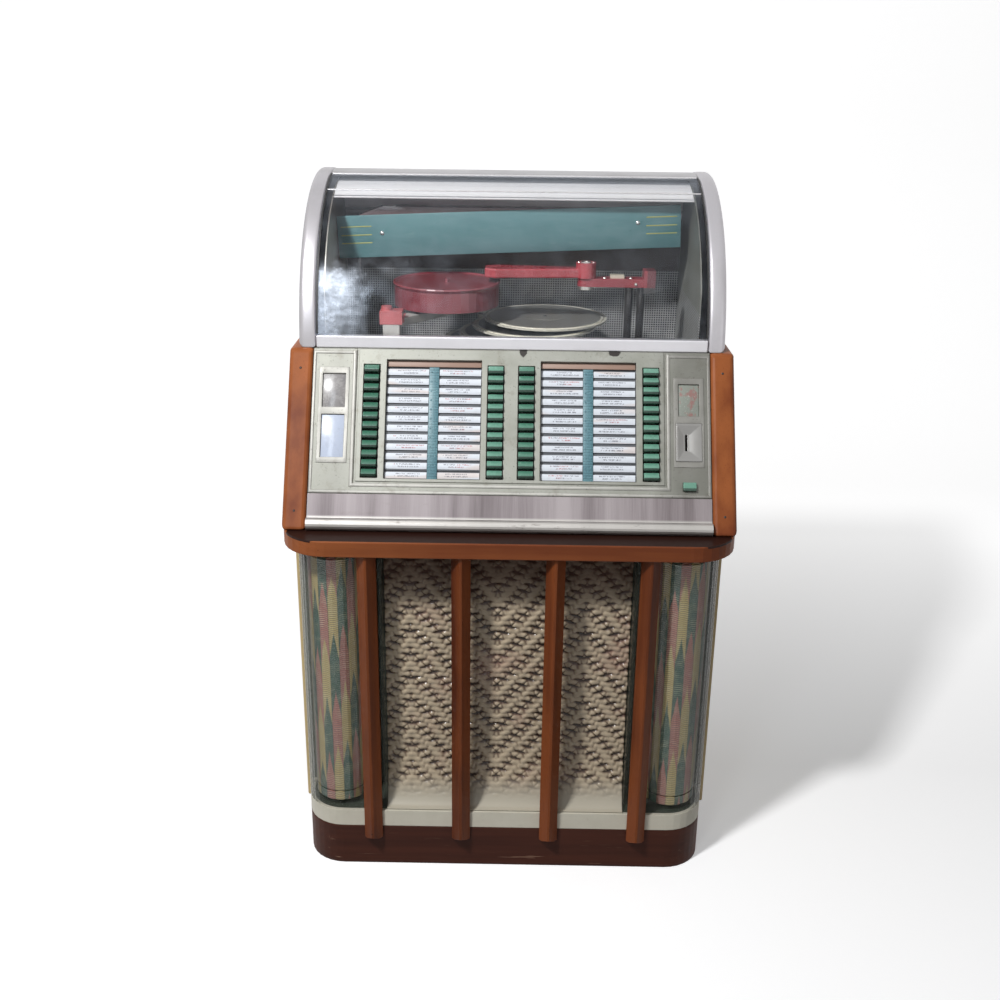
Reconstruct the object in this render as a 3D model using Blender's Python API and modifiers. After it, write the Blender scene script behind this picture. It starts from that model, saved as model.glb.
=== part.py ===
"""A floor-standing selector jukebox with a domed glass lid over its record mechanism.

Metres, +Z up. The front faces -Y, +X is the viewer's right, and the origin is on the floor
under the middle of the cabinet. Each piece is one object in the collection "jukebox".
"""

import math

import bmesh
import bpy
from mathutils import Matrix, Vector

# Gap between pieces that touch, and how far a cutter runs past what it cuts
GAP = 0.0003
OVERRUN = 0.004

# Points nearer than this are one point
WELD = 0.00001

# Whole cabinet
DEPTH = 0.680
BODY_WIDTH = 0.852
BODY_CORNER_RADIUS = 0.080
CORNER_STEPS = 8
PLINTH_HEIGHT = 0.095
PLINTH_WALL = 0.020
PLINTH_FLOOR = 0.018
TRIM_HEIGHT = 0.038
TRIM_WALL = 0.008
UPRIGHT_HEIGHT = 0.599
SIDE_PANEL_THICKNESS = 0.0135
SIDE_PANEL_SETBACK = 0.110
CASE_WALL = 0.018
CASE_FLOOR = 0.016
CASE_SETBACK = 0.120
HATCH_MARGIN = 0.036
HATCH_FRONT = 0.080
HATCH_REAR = 0.100
BEARING_DEPTH = 0.008
BEARING_PLAY = 0.0006

# Loudspeaker, amplifier and cash box inside the lower case
BAFFLE_THICKNESS = 0.015
BAFFLE_SIDE_GAP = 0.024
SPEAKER_RADIUS = 0.150
SPEAKER_DEPTH = 0.095
SPEAKER_MAGNET_RADIUS = 0.048
SPEAKER_FLANGE = 0.004
SPEAKER_WALL = 0.0025
SPEAKER_CONE_share = 0.55
SPEAKER_RISE = 0.320
AMPLIFIER_SIZE = (0.340, 0.190, 0.070)
AMPLIFIER_SETBACK = 0.300
VALVE_RADIUS = 0.016
VALVE_HEIGHT = 0.075
VALVE_COUNT = 4
VALVE_PITCH = 0.051
VALVE_MARGIN = 0.036
TRANSFORMER_SIZE = (0.085, 0.075, 0.080)
CASH_BOX_SIZE = (0.130, 0.160, 0.095)
CASH_BOX_WALL = 0.003
CASH_BOX_SIDE_GAP = 0.020

# Front of the lower case
FIN_WIDTH = 0.038
FIN_PROUD = 0.024
FIN_FOOT = 0.006
FIN_NOSE = 0.005
FIN_BOTTOM = 0.071
FIN_END_CUT = 0.010
OUTER_FIN_OFFSET = 0.024
COVER_WALL = 0.004
COVER_SIDE_LENGTH = 0.104
COVER_WIDTH = 0.170
COVER_RETURN = 0.034
FLUTE_DEPTH = 0.0012
FLUTE_COUNT = 9
CYLINDER_RADIUS = 0.057
CYLINDER_CLEARANCE = 0.012
CYLINDER_TOP_GAP = 0.022
CYLINDER_FOOT_GAP = 0.034
CYLINDER_RIM = 0.004
SPINDLE_RADIUS = 0.006
GRILLE_SETBACK = 0.048
GRILLE_SHEET = 0.003
GRILLE_SWEEP_RISE = 0.140
GRILLE_SWEEP_STEPS = 10
GRILLE_LIP = 0.004

# Wood ledge under the selector section
LEDGE_THICKNESS = 0.032
LEDGE_OVERHANG = 0.030
LEDGE_SIDE_OVERHANG = 0.024
LEDGE_BAND = 0.135
LEDGE_SIDE_BAND = 0.070
LEDGE_NOSE = 0.012

# Sloping selector section and its cheeks
CONTROL_RISE = 0.323
CONTROL_RUN = 0.191
CHEEK_SETBACK = 0.022
CHEEK_THICKNESS = 0.0485
CHEEK_ROUNDING = 0.009
UPPER_BACK_THICKNESS = 0.016
APRON_LENGTH = 0.078
APRON_FACE = 0.003
APRON_THICKNESS = 0.010
ROLL_START_ANGLE = math.radians(85)
ROLL_RADIUS = 0.0125
PANEL_FACE = 0.004
PANEL_THICKNESS = 0.010
PANEL_RETURN = 0.004
TITLE_WINDOW_HEIGHT = 0.246
TITLE_WINDOW_INNER_X = 0.0595
TITLE_TO_KEYS = 0.0295
TITLE_TOP_MARGIN = 0.0192
TITLE_ROWS = 12
TITLE_PLATE = 0.003
TITLE_RIB_DEPTH = 0.0025
TITLE_RIB_HEIGHT = 0.003
TITLE_MARGIN = 0.005
KEY_WIDTH = 0.030
KEY_HEIGHT = 0.0157
KEY_PITCH = 0.01955
KEY_TOP_MARGIN = 0.0392
KEY_PROUD = 0.010
KEY_BACK = 0.0070
KEY_TRAVEL = 0.004
KEY_ROUNDING = 0.0012
KEY_NOSE_share = 0.30
KEY_BROW_share = 0.25
KEY_CHIN_share = 0.55
KEY_STEM = 0.007
KEY_STEM_LENGTH = 0.022
KEY_SLOT_MARGIN = 0.002
KEYS_TO_BORDER = 0.0305
INNER_KEYS_X = 0.031
KEY_PLATE = 0.003
KEY_PLATE_MARGIN = 0.014
BORDER_TO_ZONE = 0.045
BORDER_BOTTOM_MARGIN = 0.022
BORDER_WIDTH = 0.004
BORDER_DEPTH = 0.002
SIDE_ZONE_MARGIN = 0.0445
CARD_WINDOW_WIDTH = 0.046
CARD_WINDOW_DEPTH = 0.004
UPPER_CARD_HEIGHT = 0.070
UPPER_CARD_TOP_MARGIN = 0.050
LOWER_CARD_HEIGHT = 0.088
LOWER_CARD_TOP_MARGIN = 0.135
COIN_WINDOW_WIDTH = 0.042
COIN_WINDOW_HEIGHT = 0.066
COIN_WINDOW_TOP_MARGIN = 0.063
COIN_PLATE_WIDTH = 0.052
COIN_PLATE_HEIGHT = 0.078
COIN_PLATE_TOP_MARGIN = 0.144
COIN_PLATE_PROUD = 0.002
COIN_PLATE_THICKNESS = 0.014
COIN_RECESS_DEPTH = 0.007
COIN_RECESS_MARGIN = 0.006
COIN_SLOT_WIDTH = 0.0048
COIN_SLOT_HEIGHT = 0.034
COIN_SLOT_OFFSET = 0.009
REJECT_WIDTH = 0.026
REJECT_HEIGHT = 0.017
REJECT_TOP_MARGIN = 0.2655
REJECT_PROUD = 0.008
REJECT_DEPTH = 0.022
REJECT_PLAY = 0.0003

# Domed lid
LID_GAP = 0.0004
DOME_RADIUS = 0.350
DOME_CENTRE_DROP = 0.027
DOME_STEPS = 22
CASTING_WIDTH = 0.036
CASTING_INSET = 0.017
CASTING_RIM = 0.009
CASTING_SIDE = 0.006
CASTING_ROUNDING = 0.010
GLASS_INSET = 0.0020
GLASS_THICKNESS = 0.005
GLASS_END_ANGLE = math.radians(80)
RAIL_HEIGHT = 0.0245
RAIL_DEPTH = 0.018
RAIL_SETBACK = 0.008
RAIL_ROUNDING = 0.002
REAR_SHEET = 0.003
HINGE_RADIUS = 0.004
HINGE_LEAF = 0.0015
HINGE_LEAF_HEIGHT = 0.030
HINGE_KNUCKLE_LENGTH = 0.060
HINGE_SPACING = 0.250

# Rear service door
DOOR_THICKNESS = 0.012
DOOR_MARGIN = 0.012
DOOR_VENT_LENGTH = 0.240
DOOR_VENT_HEIGHT = 0.012
DOOR_VENT_PITCH = 0.036
DOOR_VENTS = 6
DOOR_PULL_RADIUS = 0.012
DOOR_PULL_DEPTH = 0.004
DOOR_PULL_MARGIN = 0.050

# Inside the dome
DECK_DROP = 0.082
DECK_THICKNESS = 0.020
DECK_FRONT = 0.030
SCREEN_SHEET = 0.0025
SCREEN_SIDE_GAP = 0.012
SCREEN_BACK_GAP = 0.030
SCREEN_FRONT = 0.055
SCREEN_RADIUS_GAP = 0.018
HOOD_SHEET = 0.0025
HOOD_START_ANGLE = math.radians(66)
HOOD_CORNER = 0.014
HOOD_CORNER_DROP = 0.025
HOOD_BACK_DROP = 0.0675
HOOD_DROP = 0.075
HOOD_BACK_GAP = 0.035
HOOD_STEPS = 6
BOARD_HEIGHT = 0.090
BOARD_THICKNESS = 0.004
BOARD_SETBACK = 0.250
BOARD_HOOD_GAP = 0.0389
BOARD_ROD_RADIUS = 0.004
BOARD_ROD_INSET = 0.0472
LAMP_DEPTH = 0.034
LAMP_HEIGHT = 0.044
LAMP_RISE = 0.010
LAMP_END_RUN = 0.050
LAMP_END_DROP = 0.022
LAMP_LEFT_MARGIN = 0.047
LAMP_RIGHT_MARGIN = 0.264

# Record-playing mechanism
TRAY_POST_X = -0.065
TRAY_POST_SETBACK = 0.077
TRAY_POST_RADIUS = 0.007
TRAY_ARM = 0.180
TRAY_HOME_ANGLE = math.radians(-40)
TRAY_PLAY_ANGLE = math.radians(-115)
TRAY_COUNT = 4
TRAY_PITCH = 0.012
TRAY_FAN = math.radians(11)
TRAY_RADIUS = 0.135
TRAY_THICKNESS = 0.0025
TRAY_LIP = 0.0015
TRAY_LIP_WIDTH = 0.004
TRAY_SLEEVE_RADIUS = 0.014
TRAY_SLEEVE_HEIGHT = 0.009
TRAY_ARM_WIDTH = 0.024
TRAY_TOP_RISE = 0.101
RECORD_RADIUS = 0.127
RECORD_THICKNESS = 0.0022
RECORD_LABEL_RADIUS = 0.042
RECORD_HOLE_RADIUS = 0.004
RECORD_LABEL_RAISE = 0.0004
TURNTABLE_RADIUS = 0.115
TURNTABLE_HEIGHT = 0.047
TURNTABLE_LIP = 0.003
TURNTABLE_WALL = 0.005
TURNTABLE_HUB_RADIUS = 0.020
TURNTABLE_HUB_DEPTH = 0.018
TURNTABLE_TOP_RISE = 0.187
TURNTABLE_SPINDLE_RADIUS = 0.0035
TURNTABLE_SPINDLE_HEIGHT = 0.007
CARRIER_POST = 0.034
CARRIER_POST_X = -0.106
CARRIER_POST_Y = -0.134
CARRIER_ARM_WIDTH = 0.030
CARRIER_ARM_THICKNESS = 0.016
CARRIER_DROP = 0.006
CARRIER_BOSS_RADIUS = 0.016
LUG_SIZE = (0.046, 0.036, 0.018)
LUG_BOSS_RADIUS = 0.011
LUG_BOSS_HEIGHT = 0.008
LUG_BOSS_OFFSET = 0.010
PIVOT_X = 0.156
PIVOT_SETBACK = 0.232
PIVOT_RADIUS = 0.022
PIVOT_HEIGHT = 0.032
ARM_CLEARANCE = 0.012
ARM_THICKNESS = 0.020
ARM_LENGTH = 0.216
ARM_PIVOT_WIDTH = 0.026
ARM_HEAD_WIDTH = 0.062
ARM_HEAD_LENGTH = 0.070
ARM_NECK_share = 0.8
ARM_TIP_share = 0.6
PIVOT_CUP_RADIUS = 0.0175
PIVOT_CUP_HEIGHT = 0.0066
CLIP_SIZE = (0.030, 0.018, 0.007)
CLIP_REACH = 0.067
BRACKET_THICKNESS = 0.018
BRACKET_WIDTH = 0.034
BRACKET_REACH = 0.128
SUPPORT_POST_RADIUS = 0.008
SUPPORT_POST_SPACING = 0.026
SUPPORT_BLOCK = (0.020, 0.040, 0.048)

# Levels and planes that follow from the sizes above
FRONT = -DEPTH / 2
BODY_FRONT = FRONT + LEDGE_OVERHANG
BACK = DEPTH / 2 - 2 * HINGE_RADIUS
BODY_HALF = BODY_WIDTH / 2
TRIM_TOP = PLINTH_HEIGHT + TRIM_HEIGHT
LEDGE_BOTTOM = TRIM_TOP + UPRIGHT_HEIGHT
LEDGE_TOP = LEDGE_BOTTOM + LEDGE_THICKNESS
LEDGE_HALF = BODY_HALF + LEDGE_SIDE_OVERHANG
CONTROL_FRONT = BODY_FRONT + CHEEK_SETBACK
CONTROL_TOP = LEDGE_TOP + CONTROL_RISE
SLOPE_LENGTH = math.hypot(CONTROL_RUN, CONTROL_RISE)
SLOPE_ANGLE = math.atan2(CONTROL_RUN, CONTROL_RISE)
INNER_HALF = LEDGE_HALF - CHEEK_THICKNESS
LID_BOTTOM = CONTROL_TOP + LID_GAP
SLOPE_TOP_Y = CONTROL_FRONT + CONTROL_RUN
RAIL_FRONT = SLOPE_TOP_Y + RAIL_SETBACK
DOME_Y = RAIL_FRONT + math.sqrt(DOME_RADIUS ** 2 - DOME_CENTRE_DROP ** 2)
DOME_Z = LID_BOTTOM - DOME_CENTRE_DROP
DOME_CENTRE_SETBACK = BACK - DOME_Y
CASTING_OUTER = LEDGE_HALF - CASTING_INSET
CASTING_INNER = CASTING_OUTER - CASTING_WIDTH
LID_HALF = CASTING_INNER - GAP
DOME_START_ANGLE = math.asin(DOME_CENTRE_DROP / DOME_RADIUS)
DOME_END_ANGLE = math.pi - math.acos(DOME_CENTRE_SETBACK / DOME_RADIUS)
GLASS_RADIUS = DOME_RADIUS - GLASS_INSET
DECK_TOP = CONTROL_TOP - DECK_DROP
CYLINDER_X = BODY_HALF - COVER_WALL - CYLINDER_CLEARANCE - CYLINDER_RADIUS
CYLINDER_Y = BODY_FRONT + COVER_WALL + CYLINDER_CLEARANCE + CYLINDER_RADIUS
CASE_FRONT = BODY_FRONT + CASE_SETBACK
HATCH_HALF = BODY_HALF - CASE_WALL - HATCH_MARGIN
BAFFLE_HALF_WIDTH = CYLINDER_X - CYLINDER_RADIUS - BAFFLE_SIDE_GAP
COVER_INNER_X = BODY_HALF - COVER_WIDTH
OUTER_FIN_X = COVER_INNER_X + OUTER_FIN_OFFSET
INNER_FIN_X = OUTER_FIN_X / 3
SIDE_ZONE_X = INNER_HALF - SIDE_ZONE_MARGIN
BORDER_X = SIDE_ZONE_X - BORDER_TO_ZONE
OUTER_KEYS_X = BORDER_X - KEYS_TO_BORDER
TITLE_WINDOW_WIDTH = OUTER_KEYS_X - TITLE_TO_KEYS - TITLE_WINDOW_INNER_X
SCREEN_HALF = LID_HALF - SCREEN_SIDE_GAP
BOARD_ROD_X = SCREEN_HALF - SCREEN_SHEET - BOARD_ROD_INSET
HOOD_RADIUS = DOME_RADIUS - SCREEN_RADIUS_GAP - HOOD_SHEET
TRAY_POST_Y = BACK - TRAY_POST_SETBACK
PIVOT_Y = BACK - PIVOT_SETBACK
TURNTABLE_TOP = DECK_TOP + TURNTABLE_TOP_RISE
TURNTABLE_BOTTOM = TURNTABLE_TOP - TURNTABLE_HEIGHT
ARM_BOTTOM = TURNTABLE_TOP + ARM_CLEARANCE

# Which way local X, Y and Z run in a profile that is drawn in the YZ plane and extruded along X
ALONG_X = Matrix(((0, 0, 1, 0), (1, 0, 0, 0), (0, 1, 0, 0), (0, 0, 0, 1)))

parts = None
cutters = None


def clear_scene():
    """Removes whatever the scene holds."""
    for item in list(bpy.data.objects):
        bpy.data.objects.remove(item, do_unlink=True)


def new_collection(name):
    """A collection linked to the scene."""
    made = bpy.data.collections.new(name)
    bpy.context.scene.collection.children.link(made)
    return made


def material(name, colour, roughness, metallic=0.0):
    """A Principled material, made once under its name."""
    made = bpy.data.materials.get(name)
    if made is None:
        made = bpy.data.materials.new(name)
        made.use_nodes = True
        shader = made.node_tree.nodes["Principled BSDF"]
        shader.inputs["Base Color"].default_value = (*colour, 1.0)
        shader.inputs["Roughness"].default_value = roughness
        shader.inputs["Metallic"].default_value = metallic
        made.diffuse_color = (*colour, 1.0)
        made.roughness = roughness
        made.metallic = metallic
    return made


def varnished_wood():
    return material("varnished_wood", (0.35, 0.10, 0.03), 0.32)


def dark_wood():
    return material("dark_wood", (0.055, 0.018, 0.010), 0.45)


def plain_board():
    return material("plain_board", (0.30, 0.21, 0.12), 0.75)


def cream_panel():
    return material("cream_panel", (0.55, 0.42, 0.26), 0.50)


def cream_metal():
    return material("cream_metal", (0.55, 0.50, 0.42), 0.45)


def satin_aluminium():
    return material("satin_aluminium", (0.60, 0.59, 0.60), 0.30, 1.0)


def cast_grey():
    return material("cast_grey", (0.30, 0.30, 0.27), 0.50, 0.5)


def brushed_steel():
    return material("brushed_steel", (0.45, 0.42, 0.42), 0.28, 1.0)


def clear_plastic():
    return material("clear_plastic", (0.55, 0.62, 0.55), 0.10)


def clear_glass():
    return material("clear_glass", (0.75, 0.80, 0.82), 0.05)


def grille_cream():
    return material("grille_cream", (0.36, 0.30, 0.23), 0.40)


def colour_film():
    return material("colour_film", (0.30, 0.40, 0.25), 0.40)


def key_green():
    return material("key_green", (0.03, 0.15, 0.09), 0.30)


def title_card():
    return material("title_card", (0.70, 0.72, 0.75), 0.60)


def header_teal():
    return material("header_teal", (0.06, 0.19, 0.24), 0.45)


def mechanism_red():
    return material("mechanism_red", (0.28, 0.03, 0.04), 0.35)


def dark_steel():
    return material("dark_steel", (0.05, 0.05, 0.05), 0.50, 0.6)


def grey_paint():
    return material("grey_paint", (0.35, 0.34, 0.33), 0.50)


def record_black():
    return material("record_black", (0.02, 0.02, 0.02), 0.30)


def place(mesh, name, look, parent=None, collection=None):
    """An object for the mesh, in the parts collection unless another is given."""
    made = bpy.data.objects.new(name, mesh)
    (collection or parts).objects.link(made)
    mesh.name = name
    if look is not None:
        mesh.materials.clear()
        mesh.materials.append(look)
    made.parent = parent
    return made


def as_cutter(item):
    """Turns an object into a hidden cutter."""
    for holder in list(item.users_collection):
        holder.objects.unlink(item)
    cutters.objects.link(item)
    item.hide_render = True
    item.display_type = "WIRE"
    return item


def round_edges(item, width, segments=2, angle=40.0):
    """A Bevel on edges sharper than the angle."""
    bevel = item.modifiers.new("rounded_edges", "BEVEL")
    bevel.width = width
    bevel.segments = segments
    bevel.limit_method = "ANGLE"
    bevel.angle_limit = math.radians(angle)
    return item


def join_or_cut(item, others, operation):
    """A Boolean with each of the others, which become hidden helpers."""
    for other in others:
        as_cutter(other)
        step = item.modifiers.new(operation.lower(), "BOOLEAN")
        step.operation = operation
        step.object = other
        step.solver = "EXACT"
    return item


def cut(item, *others):
    return join_or_cut(item, others, "DIFFERENCE")


def join(item, *others):
    return join_or_cut(item, others, "UNION")


def smooth(item, angle=35.0):
    """Smooth shading with sharp edges kept."""
    item.data.shade_smooth()
    item.data.set_sharp_from_angle(angle=math.radians(angle))
    return item


def set_origin(item, point):
    """Moves the object's origin to a point, with its mesh where it was."""
    point = Vector(point)
    item.data.transform(Matrix.Translation(-point))
    item.location = point
    return item


def box(name, low, high, look=None, parent=None):
    """A box between two corners."""
    low, high = Vector(low), Vector(high)
    mesh = bpy.data.meshes.new(name)
    shape = bmesh.new()
    bmesh.ops.create_cube(shape, size=1.0)
    bmesh.ops.scale(shape, vec=high - low, verts=shape.verts)
    bmesh.ops.translate(shape, vec=(low + high) / 2, verts=shape.verts)
    shape.to_mesh(mesh)
    shape.free()
    return place(mesh, name, look, parent)


def rod(name, radius, low, high, centre, look=None, parent=None, sides=20, matrix=None):
    """A cylinder about a line parallel to Z, or turned by a matrix."""
    mesh = bpy.data.meshes.new(name)
    shape = bmesh.new()
    bmesh.ops.create_cone(
        shape, cap_ends=True, segments=sides, radius1=radius, radius2=radius, depth=high - low
    )
    bmesh.ops.translate(shape, vec=(centre[0], centre[1], (low + high) / 2), verts=shape.verts)
    if matrix is not None:
        bmesh.ops.transform(shape, matrix=matrix, verts=shape.verts)
    shape.to_mesh(mesh)
    shape.free()
    return place(mesh, name, look, parent)


def plate(name, outlines, thickness, look=None, matrix=None, parent=None):
    """A flat outline, with holes as further outlines, given a thickness about its plane."""
    drawing = bpy.data.curves.new(name, "CURVE")
    drawing.dimensions = "2D"
    drawing.fill_mode = "BOTH"
    drawing.extrude = thickness / 2
    for outline in outlines:
        spline = drawing.splines.new("POLY")
        spline.points.add(len(outline) - 1)
        for point, (x, y) in zip(spline.points, outline):
            point.co = (x, y, 0, 1)
        spline.use_cyclic_u = True
    guide = bpy.data.objects.new(name + "_outline", drawing)
    bpy.context.scene.collection.objects.link(guide)
    bpy.context.view_layer.update()
    graph = bpy.context.evaluated_depsgraph_get()
    mesh = bpy.data.meshes.new_from_object(guide.evaluated_get(graph))
    bpy.data.objects.remove(guide, do_unlink=True)
    bpy.data.curves.remove(drawing)
    shape = bmesh.new()
    shape.from_mesh(mesh)
    bmesh.ops.remove_doubles(shape, verts=shape.verts, dist=WELD)
    bmesh.ops.recalc_face_normals(shape, faces=shape.faces)
    if matrix is not None:
        bmesh.ops.transform(shape, matrix=matrix, verts=shape.verts)
    shape.to_mesh(mesh)
    shape.free()
    return place(mesh, name, look, parent)


def slab(name, outlines, bottom, top, look=None, parent=None):
    """A plan outline standing between two heights."""
    lift = Matrix.Translation((0, 0, (bottom + top) / 2))
    return plate(name, outlines, top - bottom, look, lift, parent)


def profile_bar(name, outlines, left, right, look=None, parent=None):
    """A side profile in the YZ plane, run from one X to another."""
    turn = Matrix.Translation(((left + right) / 2, 0, 0)) @ ALONG_X
    return plate(name, outlines, right - left, look, turn, parent)


def sheet(name, path, left, right, wall, look):
    """A bent sheet: a path in the YZ plane run along X as an open surface, then thickened."""
    mesh = bpy.data.meshes.new(name)
    shape = bmesh.new()
    row = [shape.verts.new((left, y, z)) for y, z in path]
    edges = [shape.edges.new(pair) for pair in zip(row, row[1:])]
    grown = bmesh.ops.extrude_edge_only(shape, edges=edges)["geom"]
    moved = [item for item in grown if isinstance(item, bmesh.types.BMVert)]
    bmesh.ops.translate(shape, vec=(right - left, 0, 0), verts=moved)
    shape.to_mesh(mesh)
    shape.free()
    made = place(mesh, name, look)
    shell = made.modifiers.new("sheet", "SOLIDIFY")
    shell.thickness = wall
    shell.offset = 0.0
    shell.use_even_offset = True
    return made


def turned(name, profile, look, steps=48, parent=None, matrix=None, bored=False):
    """A profile of (radius, height) points turned about Z, running down its outer side.

    A bored piece has a profile that closes on itself.
    """
    mesh = bpy.data.meshes.new(name)
    shape = bmesh.new()
    row = [shape.verts.new((radius, 0, height)) for radius, height in profile]
    ends = row[1:] + row[:1] if bored else row[1:]
    for pair in zip(row, ends):
        shape.edges.new(pair)
    shape.to_mesh(mesh)
    shape.free()
    made = place(mesh, name, look, parent)
    screw = made.modifiers.new("turned", "SCREW")
    screw.angle = 2 * math.pi
    screw.steps = steps
    screw.render_steps = steps
    screw.use_merge_vertices = True
    screw.merge_threshold = WELD
    if matrix is not None:
        made.matrix_local = matrix
    return made


def arc(centre, radius, start, end, steps):
    """Points on an arc, from one angle to another, counted from +X."""
    turns = (start + (end - start) * step / steps for step in range(steps + 1))
    return [(centre[0] + radius * math.cos(turn), centre[1] + radius * math.sin(turn)) for turn in turns]


def plan_outline(half, front, rear, radius):
    """A plan with rounded front corners and square rear ones."""
    left = arc((-half + radius, front + radius), radius, math.pi, 1.5 * math.pi, CORNER_STEPS)
    right = arc((half - radius, front + radius), radius, 1.5 * math.pi, 2 * math.pi, CORNER_STEPS)
    return left + right + [(half, rear), (-half, rear)]


def band_outline(half, front, rear, radius, wall):
    """A band of one wall that goes round the front and both sides, open at the rear."""
    outer = plan_outline(half, front, rear, radius)
    inner = plan_outline(half - wall, front + wall, rear, radius - wall)
    return [outer[-1]] + outer[:-1] + inner[:-1][::-1] + [inner[-1]]


def rectangle(left, right, low, high):
    return [(left, low), (right, low), (right, high), (left, high)]


def dome_arc(radius, start, end, steps=DOME_STEPS):
    """Points (y, z) on the dome's circle, with angles counted up from the front."""
    return [
        (DOME_Y - radius * math.cos(turn), DOME_Z + radius * math.sin(turn))
        for turn in (start + (end - start) * step / steps for step in range(steps + 1))
    ]


def mirrored_names(name, build):
    """Builds the left piece at -1 and the right piece at +1."""
    for side, label in ((-1, "left"), (1, "right")):
        build(f"{name}_{label}", side)


def span(side, near, far):
    """The left and right ends of something that runs from near to far on one side of the middle."""
    return (near, far) if side > 0 else (-far, -near)


def build_plinth():
    """Skirting round the foot, closed below and open at the top, where the case stands on it."""
    plinth = slab(
        "plinth",
        [plan_outline(BODY_HALF, BODY_FRONT, BACK, BODY_CORNER_RADIUS)],
        0,
        PLINTH_HEIGHT,
        dark_wood(),
    )
    hollow = slab(
        "plinth_hollow",
        [
            plan_outline(
                BODY_HALF - PLINTH_WALL,
                BODY_FRONT + PLINTH_WALL,
                BACK - PLINTH_WALL,
                BODY_CORNER_RADIUS - PLINTH_WALL,
            )
        ],
        PLINTH_FLOOR,
        PLINTH_HEIGHT + OVERRUN,
    )
    cut(plinth, hollow)


def build_trim_band():
    """Metal band round the top of the plinth."""
    outline = band_outline(BODY_HALF, BODY_FRONT, BACK, BODY_CORNER_RADIUS, TRIM_WALL)
    slab("trim_band", [outline], PLINTH_HEIGHT + GAP, TRIM_TOP, cream_metal())


def bearing_hole(name, side, low, high):
    """Hole that a colour cylinder's spindle turns in."""
    centre = (side * CYLINDER_X, CYLINDER_Y)
    return rod(name, SPINDLE_RADIUS + BEARING_PLAY, low, high, centre)


def build_cabinet_case():
    """Wooden carcass: a floor inside the trim band, and a box open at the front and the rear."""
    inset = TRIM_WALL + GAP
    floor_top = TRIM_TOP + GAP
    case = slab(
        "cabinet_case",
        [plan_outline(BODY_HALF - inset, BODY_FRONT + inset, BACK, BODY_CORNER_RADIUS - inset)],
        PLINTH_HEIGHT + GAP,
        floor_top,
        plain_board(),
    )
    rear = BACK - DOOR_THICKNESS - GAP
    shell = box(
        "case_shell",
        (-BODY_HALF, CASE_FRONT, floor_top - OVERRUN / 2),
        (BODY_HALF, rear, LEDGE_BOTTOM - GAP),
    )
    skirt = box(
        "case_skirt_cut",
        (-BODY_HALF - OVERRUN, CASE_FRONT - OVERRUN, floor_top - OVERRUN),
        (BODY_HALF + OVERRUN, rear + OVERRUN, floor_top),
    )
    ring = slab(
        "case_skirt_keep",
        [plan_outline(BODY_HALF - inset, BODY_FRONT + inset, BACK, BODY_CORNER_RADIUS - inset)],
        PLINTH_HEIGHT,
        floor_top + OVERRUN,
    )
    cut(skirt, ring)
    hollow = box(
        "case_hollow",
        (-BODY_HALF + CASE_WALL, CASE_FRONT - OVERRUN, TRIM_TOP + CASE_FLOOR),
        (BODY_HALF - CASE_WALL, rear + OVERRUN, LEDGE_BOTTOM - CASE_WALL),
    )
    hatch = box(
        "case_hatch",
        (-HATCH_HALF, CASE_FRONT + HATCH_FRONT, LEDGE_BOTTOM - CASE_WALL - OVERRUN),
        (HATCH_HALF, rear - HATCH_REAR, LEDGE_BOTTOM + OVERRUN),
    )
    cut(shell, skirt)
    join(case, shell)
    holes = [
        bearing_hole(f"case_bearing_{side}", side, TRIM_TOP - BEARING_DEPTH, TRIM_TOP + OVERRUN)
        for side in (-1, 1)
    ]
    cut(case, hollow, hatch, *holes)


def build_side_panel(name, side):
    """Cream outer panel on one side of the case."""
    left, right = span(side, BODY_HALF + GAP, BODY_HALF + SIDE_PANEL_THICKNESS)
    panel = box(
        name,
        (left, BODY_FRONT + SIDE_PANEL_SETBACK, PLINTH_HEIGHT + GAP),
        (right, BACK, LEDGE_BOTTOM - GAP),
        cream_panel(),
    )
    round_edges(panel, SIDE_PANEL_THICKNESS / 4)


def build_baffle_board():
    """Board that the loudspeaker is screwed to, against the front edges of the case."""
    centre = (0, TRIM_TOP + SPEAKER_RISE)
    turn = Matrix.Translation((0, CASE_FRONT - GAP - BAFFLE_THICKNESS / 2, 0))
    outline = rectangle(-BAFFLE_HALF_WIDTH, BAFFLE_HALF_WIDTH, TRIM_TOP + 2 * GAP, LEDGE_BOTTOM - GAP)
    hole = arc(centre, SPEAKER_RADIUS - CASE_WALL, 0, 2 * math.pi, 32)[:-1]
    upright = turn @ Matrix.Rotation(math.pi / 2, 4, "X")
    plate("baffle_board", [outline, hole], BAFFLE_THICKNESS, plain_board(), upright)


def build_speaker():
    """Twelve-inch loudspeaker: flange, cone basket and magnet in one turned shell."""
    rim = SPEAKER_RADIUS
    neck = SPEAKER_MAGNET_RADIUS
    depth = SPEAKER_DEPTH
    cone_back = depth * SPEAKER_CONE_share
    profile = [
        (0, depth),
        (neck, depth),
        (neck, cone_back),
        (rim - SPEAKER_FLANGE * 3, SPEAKER_FLANGE),
        (rim, SPEAKER_FLANGE),
        (rim, 0),
        (rim - SPEAKER_FLANGE * 4, 0),
        (neck - SPEAKER_WALL, cone_back - SPEAKER_WALL * 2),
        (0, cone_back - SPEAKER_WALL * 2),
    ]
    seat = Matrix.Translation((0, CASE_FRONT, TRIM_TOP + SPEAKER_RISE))
    turned("speaker", profile, dark_steel(), 32, matrix=seat @ Matrix.Rotation(-math.pi / 2, 4, "X"))


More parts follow.
